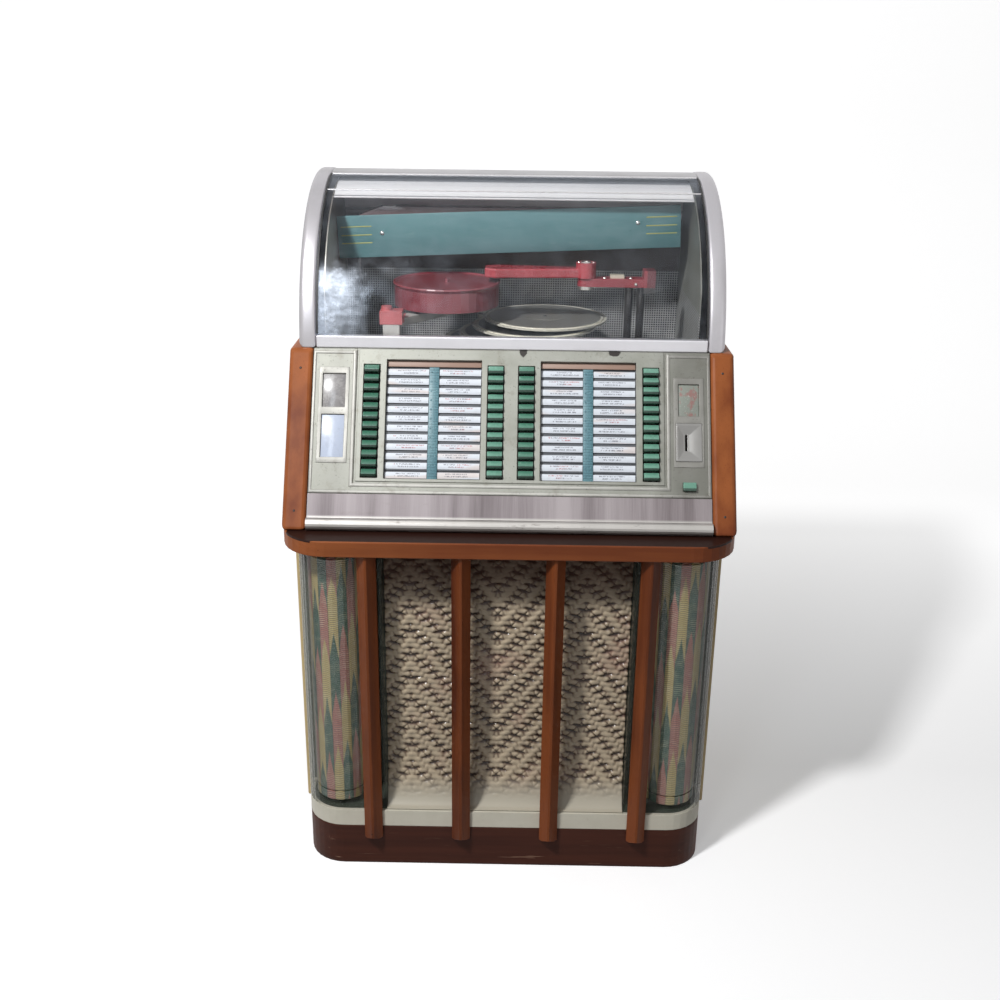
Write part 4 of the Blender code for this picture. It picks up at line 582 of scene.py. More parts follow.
@dataclass(frozen=True)
class FlutedPlastic:
    """Clear corner cover: plain over the drum, darker and streaked where it turns the corner."""

    name: str = "cover_plastic"
    corner: Pair = (0.394, 0.424)

    def material(self) -> Material:
        """The finished material."""
        bench = Bench(self.name)
        x, _, _ = bench.axes()
        turned = bench.level(abs(x), *self.corner)
        streaks = bench.level(bench.noise(95.0, 2.0, 0.4, bench.stretched((1.0, 1.0, 0.004))), 0.40, 0.60)
        dusty = bench.level(bench.noise(30.0, 5.0, 0.7), 0.50, 0.85)
        colour = bench.mix(streaks, (0.030, 0.038, 0.026), (0.175, 0.190, 0.145))
        colour = bench.mix(dusty * 0.25, colour, (0.30, 0.30, 0.25))
        cover = turned * (streaks * 0.18 + 0.30) + bench.slant() ** 3.0 * 0.30 + dusty * 0.04 + 0.05
        bench.soften(0.001)
        bench.bump(dusty, 0.0001, 0.2)
        return bench.finish(Base_Color=colour, Alpha=cover, Roughness=dusty * 0.2 + 0.10, Coat_Weight=0.35)


@dataclass(frozen=True)
class GrilleResin:
    """Moulded resin-bonded grille: painted shade in its grooves, pale shelf, painted ledge shadow at its top."""

    name: str = "grille_resin"
    painted_ledge_shadow: Pair = (0.615, 0.690)

    def material(self) -> Material:
        """The finished material."""
        bench = Bench(self.name)
        relief, shelf = bench.attribute("relief"), bench.attribute("shelf")
        _, _, height = bench.axes()
        grains = bench.noise(260.0, 3.0, 0.6)
        clouds = bench.noise(7.0, 3.0)
        # The ramp paints shade into the grooves: nearly black where the relief is lowest.
        stops = ((0.04, (0.020, 0.010, 0.007)), (0.32, (0.120, 0.078, 0.052)), (0.72, (0.460, 0.375, 0.265)))
        colour = bench.ramp(relief + (clouds - 0.5) * 0.3, stops)
        rosy = bench.level(bench.noise(9.0, 2.0), 0.56, 0.72)
        colour = bench.mix(rosy * 0.35 * (1 - shelf), colour, (0.36, 0.20, 0.155))
        # Painted shadow of the ledge over the grille's top, with a ragged lower edge; the coat thins there too.
        ragged = bench.noise(24.0, 3.0, 0.6) * 0.05
        painted_ledge_shadow = bench.level(height + ragged, *self.painted_ledge_shadow)
        colour = bench.mix(painted_ledge_shadow * 0.74, colour, (0.050, 0.017, 0.010))
        colour = bench.mix(shelf * 0.85, colour, (0.47, 0.44, 0.36))
        bench.bump(grains, 0.0003, 0.35)
        rough, gloss = 0.40 - relief * 0.12, (1 - painted_ledge_shadow) * 0.40
        return bench.finish(
            Base_Color=colour, Roughness=rough, Coat_Weight=gloss, Coat_Roughness=0.22, Specular_IOR_Level=0.12
        )


@dataclass(frozen=True)
class ColourFilm:
    """Ribbed translucent film in staggered long points of three colours round a drum."""

    name: str
    centre: Pair
    columns: int = 18
    length: float = 0.132
    rib: float = 0.0046

    def material(self) -> Material:
        """The finished material."""
        bench = Bench(self.name)
        x, y, height = bench.axes()
        turn = (y - self.centre[1]).turn_from(x - self.centre[0]) * (self.columns / math.tau)
        column = turn.whole()
        across = abs(turn.fraction() - 0.5)
        stagger = (column * 0.6180).fraction() * 3.0
        wobble = bench.noise(22.0, 2.0) * 0.25
        share = ((height / self.length + stagger + across * 0.9 + wobble) / 3.0 + 40.0).fraction()
        teal, straw, pink = (0.050, 0.118, 0.085), (0.600, 0.480, 0.210), (0.480, 0.200, 0.165)
        stops = ((0.0, teal), (0.31, teal), (0.34, straw), (0.65, straw), (0.68, pink), (0.98, pink), (1.0, teal))
        colour = bench.ramp(share, stops)
        bowed = across * across * 2.4
        ribs = ((height / self.rib + bowed) * math.tau).sine() * 0.5 + 0.5
        seam = bench.level(across, 0.42, 0.5)
        # Painted shade in the rib grooves; the seams between columns are dark joints.
        colour = bench.mix((1 - ribs) * 0.62 + seam * 0.30, colour, (0.020, 0.026, 0.018))
        # Painted glints: pale yellow on the rib crests, in patches.
        beads = bench.level(ribs, 0.72, 1.0) * bench.level(bench.noise(60.0, 2.0), 0.45, 0.7)
        colour = bench.mix(beads * 0.55, colour, (0.78, 0.74, 0.52))
        bench.bump(ribs, 0.0007, 0.6)
        return bench.finish(Base_Color=colour, Roughness=0.30, Coat_Weight=0.5)


@dataclass(frozen=True)
class KeyResin:
    """Moulded green key resin, paler in swirls, rubbed in places; painted shade under each nose and between keys.

    The first column is darker than the rest, and the third a little.
    """

    name: str = "key_resin"
    colour: Colour = (0.120, 0.290, 0.212)
    deep: Colour = (0.030, 0.135, 0.082)
    shade: Colour = (0.004, 0.022, 0.012)

    def material(self) -> Material:
        """The finished material."""
        bench = Bench(self.name)
        x, y, height = bench.axes()
        step = ((SLOPE.up(y, height) - (KEYS.first - KEYS.height / 2)) / KEYS.pitch).fraction()
        swirl = bench.noise(60.0, 4.0, 0.65)
        rubbed = bench.level(bench.noise(110.0, 3.0), 0.5, 0.75)
        colour = bench.mix(bench.level(swirl, 0.35, 0.8) * 0.5, self.colour, paler(self.colour, 1.45))
        first = 1 - bench.level(x, -0.262, -0.252)
        third = bench.level(x, 0.010, 0.014) * (1 - bench.level(x, 0.048, 0.052))
        colour = bench.mix(first * 0.85 + third * 0.5, colour, self.deep)
        # Painted shade under each key's nose and in the gap between the keys.
        under = 1 - bench.level(step, KEYS.nose_share - 0.03, KEYS.nose_share)
        gap = bench.level(step, 0.80, 0.83)
        colour = bench.mix((under + gap).clamped() * 0.85, colour, self.shade)
        bench.soften(0.0008)
        bench.bump(bench.noise(900.0, 1.0), 0.00005, 0.2)
        return bench.finish(Base_Color=colour, Roughness=rubbed * 0.15 + 0.24, Coat_Weight=0.4)


@dataclass(frozen=True)
class TitleCard:
    """White title cards with faint typed marks, a few of them tinted."""

    name: str = "title_card_stock"

    def material(self) -> Material:
        """The finished material."""
        bench = Bench(self.name)
        x, y, height = bench.axes()
        tint = bench.noise(9.0, 2.0, 0.4, bench.stretched((0.7, 1.0, 5.0)))
        colour = bench.mix(bench.level(tint, 0.58, 0.66), (0.700, 0.740, 0.800), (0.700, 0.640, 0.630))
        dust = bench.noise(90.0, 4.0, 0.7)
        colour = bench.mix(bench.level(dust, 0.45, 0.9) * 0.35, colour, (0.46, 0.47, 0.50))
        across = ((abs(x) - CARDS.left) / CARDS.column).fraction() - 0.5
        place = (CARDS.first - SLOPE.up(y, height)) / CARDS.pitch
        row, share = place.whole(), place.fraction()
        side = ((x - CARDS.left) / CARDS.column).whole()
        chance = (((row * 12.9898 + side * 78.233).sine() * 43758.5) + 60000.0).fraction()
        words = bench.noise(520.0, 2.0, 0.6, bench.stretched((1.0, 1.0, 0.2)))
        typed = bench.level(words, 0.42, 0.56)
        upper = (1 - bench.level(abs(share - 0.37), 0.055, 0.09)) * (abs(across) < 0.16 + chance * 0.18)
        lower = (1 - bench.level(abs(share - 0.63), 0.055, 0.09)) * (abs(across) < 0.30 - chance * 0.16)
        rosy = (chance > 0.72) * bench.level(bench.noise(31.0, 1.0), 0.45, 0.55)
        inked = bench.mix(rosy, (0.10, 0.10, 0.14), (0.45, 0.07, 0.08))
        colour = bench.mix((upper + lower).clamped() * typed * 0.72, colour, inked)
        bench.bump(dust, 0.0001, 0.2)
        return bench.finish(Base_Color=colour, Roughness=0.5, Coat_Weight=0.15)


@dataclass(frozen=True)
class TealBead:
    """Teal channel between the title cards, beaded in fine dots."""

    name: str = "teal_channel"

    def material(self) -> Material:
        """The finished material."""
        bench = Bench(self.name)
        spots = {"Vector": bench.place(), "Scale": 330.0, "Randomness": 0.25}
        dots = bench.node("ShaderNodeTexVoronoi", {"feature": "F1"}, spots)
        clouds = bench.noise(28.0, 3.0)
        colour = bench.ramp(clouds, ((0.3, (0.080, 0.205, 0.250)), (0.7, (0.150, 0.300, 0.340))))
        colour = bench.mix(bench.level(dots, 0.35, 0.6) * 0.6, colour, (0.03, 0.085, 0.11))
        bench.bump(1 - dots, 0.0003, 0.4)
        return bench.finish(Base_Color=colour, Roughness=0.42)


@dataclass(frozen=True)
class HeaderPaint:
    """Faded teal enamel with greener and bluer patches, rubbed streaks and small chips."""

    name: str = "header_enamel"

    def material(self) -> Material:
        """The finished material."""
        bench = Bench(self.name)
        along = bench.stretched((0.35, 1.0, 1.4))
        clouds = bench.noise(12.0, 4.0, 0.6, along)
        stops = ((0.28, (0.066, 0.165, 0.180)), (0.52, (0.098, 0.222, 0.238)), (0.78, (0.135, 0.262, 0.280)))
        colour = bench.ramp(clouds, stops)
        rubbed = bench.level(bench.noise(60.0, 5.0, 0.75, along), 0.58, 0.78)
        colour = bench.mix(rubbed * 0.4, colour, (0.28, 0.40, 0.38))
        chips = bench.level(bench.noise(150.0, 3.0, 0.6), 0.70, 0.74)
        colour = bench.mix(chips * 0.6, colour, (0.04, 0.08, 0.09))
        bench.soften(0.0012)
        bench.bump(clouds - chips * 0.5, 0.0003, 0.2)
        return bench.finish(Base_Color=colour, Roughness=rubbed * 0.2 + 0.34, Coat_Weight=0.2)


@dataclass(frozen=True)
class GlossEnamel:
    """Old gloss enamel on the mechanism, chipped, with another colour over the parts of a zone."""

    name: str
    colour: Colour
    chip: Colour
    roughness: float = 0.26
    zone: tuple[Point, Point] | None = None
    zone_colour: Colour = (0.0, 0.0, 0.0)

    def material(self) -> Material:
        """The finished material."""
        bench = Bench(self.name)
        clouds = bench.noise(22.0, 4.0, 0.6)
        chips = bench.level(bench.noise(150.0, 3.0, 0.65), 0.70, 0.73)
        base, lit = self.colour, paler(self.colour)
        if self.zone:
            inside = bench.within(*self.zone)
            base, lit = bench.mix(inside, base, self.zone_colour), bench.mix(inside, lit, paler(self.zone_colour))
        colour = bench.mix(bench.level(clouds, 0.35, 0.75), base, lit)
        rubbed = bench.edges(0.002) * bench.level(bench.noise(60.0, 3.0), 0.40, 0.60)
        colour = bench.mix(rubbed * 0.35, colour, lit)
        colour = bench.mix(chips * 0.7, colour, self.chip)
        bench.soften(0.0015)
        bench.bump(bench.noise(240.0, 2.0), 0.0001, 0.25)
        return bench.finish(Base_Color=colour, Roughness=clouds * 0.14 + self.roughness, Coat_Weight=0.5)


@dataclass(frozen=True)
class BracketEnamel:
    """The arm's bracket: red casting and block, dark posts, a bright bearing cup and a cream clip.

    The posts and the cup stand below the casting's underside, the clip above its top.
    """

    name: str = "bracket_enamel"
    red: Colour = (0.255, 0.026, 0.036)
    under: float = 1.1862
    over: float = 1.2040
    cup_end: float = 0.20
    clip_end: float = 0.245
    block_start: float = 0.286

    def material(self) -> Material:
        """The finished material."""
        bench = Bench(self.name)
        x, _, height = bench.axes()
        clouds = bench.noise(22.0, 4.0, 0.6)
        colour = bench.mix(bench.level(clouds, 0.35, 0.75), self.red, paler(self.red))
        below = height < self.under
        cup = below * (x < self.cup_end)
        colour = bench.mix(below, colour, (0.028, 0.026, 0.026))
        colour = bench.mix(cup, colour, (0.52, 0.51, 0.47))
        clip = (height > self.over) * (x > self.cup_end) * (x < self.clip_end)
        colour = bench.mix(clip, colour, (0.58, 0.53, 0.42))
        block = x > self.block_start
        colour = bench.mix(block * (1 - below), colour, (0.125, 0.016, 0.022))
        bench.soften(0.0015)
        bench.bump(clouds, 0.0001, 0.2)
        return bench.finish(Base_Color=colour, Roughness=clouds * 0.14 + 0.24, Metallic=cup * 0.9, Coat_Weight=0.45)


@dataclass(frozen=True)
class ScreenWall:
    """Inner walls of the record chamber, dusty.

    Wire mesh stands low down at the back and at the right. The rest of the back is painted shade with a pale top,
    and the rest of the side walls is pale below with painted shade above.
    """

    name: str = "screen_wall"
    side: float = 0.3815
    mesh_top: float = 1.186
    pitch: float = 0.0054

    def material(self) -> Material:
        """The finished material."""
        bench = Bench(self.name)
        x, y, height = bench.axes()
        at_side = abs(x) > self.side
        across = (x / self.pitch * (1 - at_side) + y / self.pitch * at_side).fraction() - 0.5
        upward = (height / self.pitch).fraction() - 0.5
        wires = (bench.level(abs(across), 0.26, 0.34) + bench.level(abs(upward), 0.26, 0.34)).clamped()
        right_side = at_side * (x > 0)
        meshed = (height < self.mesh_top - right_side * 0.03) * (1 - at_side * (x < 0))
        clouds = bench.noise(10.0, 4.0, 0.6)
        dust = bench.noise(26.0, 5.0, 0.7)
        # Painted shade: the back wall above the mesh is dark brown, up to its pale top.
        plain = bench.ramp(clouds, ((0.3, (0.052, 0.040, 0.037)), (0.7, (0.086, 0.068, 0.063))))
        plain = bench.mix(bench.level(height, 1.300, 1.312), plain, (0.520, 0.510, 0.520))
        wall = bench.ramp(clouds, ((0.3, (0.480, 0.480, 0.430)), (0.7, (0.700, 0.695, 0.630))))
        # Painted shade over the upper part of the side walls.
        wall = bench.mix(bench.level(height, 1.225, 1.330) * 0.85, wall, (0.070, 0.052, 0.042))
        wall = bench.mix(right_side * 0.75, wall, (0.090, 0.098, 0.085))
        base = bench.mix(at_side, plain, wall)
        wire = bench.ramp(dust, ((0.35, (0.34, 0.34, 0.345)), (0.7, (0.58, 0.58, 0.575))))
        mesh = bench.mix(wires, (0.012, 0.012, 0.014), wire)
        colour = bench.mix(meshed * (1 - right_side * 0.4), base, mesh)
        bench.bump(wires * meshed + dust * 0.2, 0.0006, 0.5)
        return bench.finish(Base_Color=colour, Roughness=0.45, Metallic=0.25)


@dataclass(frozen=True)
class RecordTray:
    """A bright pressed tray lip round a grooved record with a plain label, or round a bare tray."""

    name: str
    centre: Pair
    label: Colour
    bare: bool = False
    record: float = 0.1215
    label_radius: float = 0.0420
    spindle: float = 0.0045

    def material(self) -> Material:
        """The finished material."""
        bench = Bench(self.name)
        x, y, _ = bench.axes()
        east, north = x - self.centre[0], y - self.centre[1]
        reach = (east * east + north * north).root()
        on_record = reach < self.record
        on_label = reach < self.label_radius
        streaks = bench.noise(140.0, 3.0, 0.6)
        dusty = bench.level(bench.noise(40.0, 4.0, 0.7), 0.45, 0.75)
        metal = bench.ramp(streaks, ((0.3, (0.74, 0.72, 0.62)), (0.7, (0.92, 0.90, 0.80))))
        field, shown = ((0.33, 0.325, 0.300), (0.36, 0.35, 0.32)) if self.bare else ((0.018, 0.017, 0.018), self.label)
        colour = bench.mix(on_record, metal, field)
        colour = bench.mix(on_label, colour, shown)
        colour = bench.mix(on_record * dusty * 0.15, colour, (0.30, 0.29, 0.26))
        colour = bench.mix(reach < self.spindle, colour, (0.02, 0.02, 0.02))
        waves = (reach * (420.0 if self.bare else 3200.0)).sine() * 0.5 + 0.5
        bench.bump(waves * on_record * (1 - on_label), 0.0001, 0.35)
        metallic = (1 - on_record) * 0.35 + on_record * (0.55 if self.bare else 0.0)
        return bench.finish(Base_Color=colour, Roughness=on_record * 0.06 + 0.26, Metallic=metallic, Coat_Weight=0.3)


@dataclass(frozen=True)
class FibreBoard:
    """Hardboard or plywood inside and behind the cabinet, painted dark green before a depth if one is given."""

    name: str
    light: Colour = (0.30, 0.19, 0.095)
    dark: Colour = (0.17, 0.095, 0.045)
    painted: float | None = None
    green: Colour = (0.034, 0.042, 0.030)

    def material(self) -> Material:
        """The finished material."""
        bench = Bench(self.name)
        fibres = bench.noise(190.0, 4.0, 0.7, bench.stretched((0.3, 1.0, 0.3)))
        clouds = bench.noise(6.0, 4.0, 0.6)
        colour = bench.ramp(fibres * 0.45 + clouds * 0.55, ((0.32, self.dark), (0.68, self.light)))
        if self.painted is not None:
            _, depth, _ = bench.axes()
            colour = bench.mix(depth < self.painted, colour, self.green)
        bench.bump(fibres, 0.0003, 0.4)
        return bench.finish(Base_Color=colour, Roughness=0.72)


@dataclass(frozen=True)
class PlainGloss:
    """A small fitting's rubber, glass or plating, slightly dusty."""

    name: str
    colour: Colour
    roughness: float = 0.4
    metallic: float = 0.0
    dust: Colour = (0.35, 0.33, 0.30)

    def material(self) -> Material:
        """The finished material."""
        bench = Bench(self.name)
        dusty = bench.level(bench.noise(120.0, 3.0, 0.6), 0.55, 0.85)
        bench.bump(bench.noise(500.0, 2.0), 0.00005, 0.2)
        colour = bench.mix(dusty * 0.18, self.colour, self.dust)
        return bench.finish(Base_Color=colour, Roughness=dusty * 0.15 + self.roughness, Metallic=self.metallic)


@dataclass(frozen=True)
class BlotchedCard:
    """A small printed card that has blotched: a ground colour, smudges and a few coloured stains."""

    name: str
    ground: Colour
    smudge: Colour
    stain: Colour
    stained: float = 0.0

    def material(self) -> Material:
        """The finished material."""
        bench = Bench(self.name)
        smudges = bench.level(bench.noise(95.0, 4.0, 0.7), 0.50, 0.66)
        stains = bench.level(bench.noise(62.0, 3.0, 0.6, bench.stretched((1.0, 1.0, 0.6))), 0.52, 0.62)
        flecks = bench.level(bench.noise(260.0, 2.0, 0.6), 0.64, 0.70)
        colour = bench.mix(smudges * 0.55, self.ground, self.smudge)
        colour = bench.mix(stains * self.stained, colour, self.stain)
        colour = bench.mix(flecks * (0.12 + self.stained * 0.5), colour, (0.60, 0.62, 0.56))
        bench.bump(smudges, 0.0001, 0.2)
        return bench.finish(Base_Color=colour, Roughness=smudges * 0.15 + 0.24, Coat_Weight=0.6)


# Mesh tools


def mesh_from(name: str, build: Build) -> bpy.types.Mesh:
    """A mesh that a function fills.

    Args:
        name: The mesh's name.
        build: Fills the empty bmesh that it is given.

    Returns:
        The mesh.
    """
    mesh = bpy.data.meshes.new(name)
    shape = bmesh.new()
    build(shape)
    bmesh.ops.recalc_face_normals(shape, faces=shape.faces)
    shape.to_mesh(mesh)
    shape.free()
    return mesh


def add_block(shape: Shape, low: Point, high: Point, rounding: float = 0.0, segments: int = 2) -> None:
    """Adds a box with rounded edges to a bmesh.

    Args:
        shape: The bmesh that takes it.
        low: Its lowest corner.
        high: Its highest corner.
        rounding: The radius of its edges.
        segments: How finely they are rounded.
    """
    made = bmesh.ops.create_cube(shape, size=1.0)["verts"]
    size = Vector(high) - Vector(low)
    bmesh.ops.scale(shape, vec=size, verts=made)
    bmesh.ops.translate(shape, vec=(Vector(low) + Vector(high)) / 2, verts=made)
    if rounding:
        edges = list({edge for vert in made for edge in vert.link_edges})
        bmesh.ops.bevel(shape, geom=edges, offset=rounding, segments=segments, profile=0.5, affect="EDGES")


def add_loft(shape: Shape, outlines: Sequence[Sequence[Point]], rounding: float = 0.0) -> None:
    """Adds a closed form that runs through outlines with equally many points to a bmesh.

    Args:
        shape: The bmesh that takes it.
        outlines: The outlines, the first and last of which are its ends.
        rounding: The radius of its edges.
    """
    rings = [[shape.verts.new(point) for point in outline] for outline in outlines]
    faces = [shape.faces.new(rings[0]), shape.faces.new(rings[-1][::-1]), *join_rings(shape, rings)]
    if rounding:
        edges = list({edge for face in faces for edge in face.edges})
        bmesh.ops.bevel(shape, geom=edges, offset=rounding, segments=2, profile=0.5, affect="EDGES")


def join_rings(shape: Shape, rings: Sequence[Sequence[bmesh.types.BMVert]]) -> list[bmesh.types.BMFace]:
    """Adds the faces between each ring of a bmesh's vertices and the next.

    Args:
        shape: The bmesh that takes them.
        rings: The rings, with equally many vertices.

    Returns:
        The faces.
    """
    faces = []
    for ring, following in zip(rings, rings[1:]):
        for index in range(len(ring)):
            after = (index + 1) % len(ring)
            faces.append(shape.faces.new((ring[index], ring[after], following[after], following[index])))
    return faces


def add_turned(shape: Shape, profile: Sequence[Pair], matrix: Matrix, steps: int = 20) -> None:
    """Adds a turned form to a bmesh.

    Args:
        shape: The bmesh that takes it.
        profile: Points of (radius, height), from the axis round to the axis.
        matrix: Where the form's own Z axis goes.
        steps: How many faces go round it.
    """
    rings = []
    for radius, height in profile:
        if radius == 0:
            rings.append([shape.verts.new(matrix @ Vector((0, 0, height)))])
            continue
        ring = []
        for step in range(steps):
            turn = math.tau * step / steps
            ring.append(shape.verts.new(matrix @ Vector((radius * math.cos(turn), radius * math.sin(turn), height))))
        rings.append(ring)
    for upper, lower in zip(rings, rings[1:]):
        for step in range(steps):
            after = (step + 1) % steps
            around = ((upper, step), (upper, after), (lower, after), (lower, step))
            corners = list(dict.fromkeys(ring[place % len(ring)] for ring, place in around))
            if len(corners) > 2:
                shape.faces.new(corners)


def add_bar(shape: Shape, outline: Sequence[Pair], left: float, right: float, rounding: float = 0.0) -> None:
    """Adds a closed YZ outline, run from one X to another, to a bmesh.

    Args:
        shape: The bmesh that takes it.
        outline: Its corners as (y, z).
        left: Where it starts.
        right: Where it ends.
        rounding: The radius of its edges.
    """
    add_loft(shape, [[(x, y, z) for y, z in outline] for x in (left, right)], rounding)


def add_rail(shape: Shape, path: Sequence[Pair], left: float, right: float, thickness: float) -> None:
    """Adds a flat strip that follows a path in the YZ plane, its thickness outward of the path.

    Args:
        shape: The bmesh that takes it.
        path: Points of (y, z).
        left: Its left edge.
        right: Its right edge.
        thickness: How far it stands out of the path.
    """
    outer = []
    for index, (y, z) in enumerate(path):
        before, after = path[max(index - 1, 0)], path[min(index + 1, len(path) - 1)]
        along = Vector((after[0] - before[0], after[1] - before[1])).normalized()
        outer.append((y - along.y * thickness, z + along.x * thickness))
    add_bar(shape, list(path) + outer[::-1], left, right)


def add_bead(shape: Shape, path: Sequence[Pair], width: float, height: float, face: float) -> None:
    """Adds a half-round bead that follows a path on a face that looks to negative Y, with mitred corners.

    Args:
        shape: The bmesh that takes it.
        path: Points of (x, z).
        width: How wide it is.
        height: How far it stands out of the face.
        face: The Y of the face, which it is let into a little.
    """
    let_in = 0.0003
    points = [Vector(point) for point in path]
    ways = [(after - before).normalized() for before, after in zip(points, points[1:])]
    bends = [math.pi * step / 6 for step in range(7)]
    round_top = [(math.cos(bend) * width / 2, -math.sin(bend) * height) for bend in bends]
    profile = [(width / 2, let_in), *round_top, (-width / 2, let_in)]
    outlines = []
    for index, point in enumerate(points):
        before, after = ways[max(index - 1, 0)], ways[min(index, len(ways) - 1)]
        sideways = Vector((before.y + after.y, -before.x - after.x)).normalized()
        sideways /= sideways.dot(Vector((before.y, -before.x)))
        outlines.append(
            [(point.x + sideways.x * side, face + lift, point.y + sideways.y * side) for side, lift in profile]
        )
    add_loft(shape, outlines)


def add_plate(
    shape: Shape,
    columns: Sequence[float],
    rows: Sequence[float],
    openings: set[tuple[int, int]],
    front: float,
    back: float,
    rounding: float,
) -> None:
    """Adds a plate with rectangular openings that looks to negative Y.

    Args:
        shape: The bmesh that takes it.
        columns: The X of each line of its lattice.
        rows: The Z of each line of its lattice.
        openings: The cells that are open, as (column, row).
        front: The Y of its front.
        back: The Y of its back.
        rounding: The radius of its front edges.
    """
    cells = {(i, j) for i in range(len(columns) - 1) for j in range(len(rows) - 1)} - openings
    corners: dict[tuple[int, int, float], bmesh.types.BMVert] = {}

    def face(*places: tuple[int, int, float]) -> None:
        """Adds a face between corners of the lattice."""
        for i, j, y in places:
            if (i, j, y) not in corners:
                corners[i, j, y] = shape.verts.new((columns[i], y, rows[j]))
        shape.faces.new([corners[place] for place in places])

    for i, j in sorted(cells):
        around = [(i, j), (i + 1, j), (i + 1, j + 1), (i, j + 1)]
        face(*((*place, front) for place in around))
        face(*((*place, back) for place in around[::-1]))
        for start, end, beside in (
            (around[0], around[1], (i, j - 1)),
            (around[1], around[2], (i + 1, j)),
            (around[2], around[3], (i, j + 1)),
            (around[3], around[0], (i - 1, j)),
        ):
            if beside not in cells:
                face((*end, front), (*start, front), (*start, back), (*end, back))
    mine = [vert for (_, _, y), vert in corners.items() if y == front]
    edges = {edge for vert in mine for edge in vert.link_edges if edge.other_vert(vert) in mine}
    sharp = [edge for edge in edges if any(abs(face.calc_center_median().y - front) > 1e-6 for face in edge.link_faces)]
    bmesh.ops.bevel(shape, geom=sharp, offset=rounding, segments=2, profile=0.5, affect="EDGES")


def seat_at(place: Point, quarters: int = 0, axis: str = "X") -> Matrix:
    """A frame that stands at a place, after some quarter turns about an axis."""
    return Matrix.Translation(place) @ Matrix.Rotation(quarters * math.pi / 2, 4, axis)


def add_object(name: str, data: bpy.types.ID) -> bpy.types.Object:
    """Puts a mesh, a lamp or a camera in the scene.

    Args:
        name: The new object's name.
        data: The mesh, lamp or camera.

    Returns:
        The new object.
    """
    made = bpy.data.objects.new(name, data)
    bpy.context.scene.collection.objects.link(made)
    return made


def place_piece(
    name: str,
    form: bpy.types.Mesh | Build,
    material: Material,
    body: str,
    matrix: Matrix | None = None,
    crisp: float = 35.0,
) -> bpy.types.Object:
    """Puts a mesh in the scene as a piece that rides on a body.

    Args:
        name: The piece's name.
        form: Its mesh, or the function that fills one.
        material: Its material.
        body: The body that it moves with.
        matrix: Where the mesh's own frame stands, or None for the row frame.
        crisp: Edges sharper than this angle in degrees stay sharp.

    Returns:
        The new object.
    """
    mesh = form if isinstance(form, bpy.types.Mesh) else mesh_from(name, form)
    if matrix is not None:
        mesh.transform(matrix)
    made = add_object(name, mesh)
    mesh.materials.append(material)
    mesh.shade_smooth()
    mesh.set_sharp_from_angle(angle=math.radians(crisp))
    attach(made, body)
    LOG.info("piece %s rides on %s", name, body)
    return made


def dress(material: Material, *nodes: str) -> None:
    """Gives CAD nodes a material.

    Args:
        material: The material.
        nodes: The nodes' names.
    """
    for name in nodes:
        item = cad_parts[name]
        item.data.materials.clear()
        item.data.materials.append(material)
        LOG.info("node %s wears %s", name, material.name)


# Shared measures of the frame


@dataclass(frozen=True)
class Slope:
    """The sloping selector section's own frame: X right, Y inward, Z up the slope."""

    front: float = -0.288
    foot: float = 0.764
    rise: float = 0.323
    run: float = 0.191

    @property
    def length(self) -> float:
        """The slope's length."""
        return math.hypot(self.rise, self.run)

    @property
    def lean(self) -> float:
        """How far the slope leans back from upright, in radians."""
        return math.atan2(self.run, self.rise)

    def matrix(self) -> Matrix:
        """Where the slope's frame stands."""
        return Matrix.Translation((0, self.front, self.foot)) @ Matrix.Rotation(-self.lean, 4, "X")

    def up(self, depth: Signal, height: Signal) -> Signal:
        """How far up the slope a point of a material is, from its Y and Z."""
        return (depth - self.front) * math.sin(self.lean) + (height - self.foot) * math.cos(self.lean)


@dataclass(frozen=True)
class Dome:
    """The circle that the lid's glass and castings follow, in the YZ plane."""

    y: float = 0.260
    z: float = 1.0604
    radius: float = 0.350

    def point(self, reach: float, degrees: float) -> Pair:
        """A point at a reach from the centre, with the angle counted up from the front."""
        turn = math.radians(degrees)
        return self.y - reach * math.cos(turn), self.z + reach * math.sin(turn)

    def path(self, reach: float, start: float, end: float, steps: int = 28) -> list[Pair]:
        """Points along the circle."""
        return [self.point(reach, start + (end - start) * step / steps) for step in range(steps + 1)]


@dataclass(frozen=True)
class Keys:
    """The key bank's rows, as distances up the slope, and the depths of a key's top edge, nose and foot."""

    rows: int = 12
    first: float = 0.336
    pitch: float = 0.01955
    width: float = 0.030
    height: float = 0.0157
    nose: float = 0.3
    depths: Point = (0.0015, -0.006, -0.0015)

    @property
    def nose_share(self) -> float:
        """Where a key's nose stands, as a share of the pitch above the key's lower edge."""
        return self.nose * self.height / self.pitch


@dataclass(frozen=True)
class Cards:
    """The title cards' columns, from the middle outward, and rows, down the slope."""

    left: float = 0.0595
    column: float = 0.09625
    first: float = 0.3427
    pitch: float = 0.01937


SLOPE = Slope()
DOME = Dome()
CARDS = Cards()
KEYS = Keys()


# Sub-assemblies


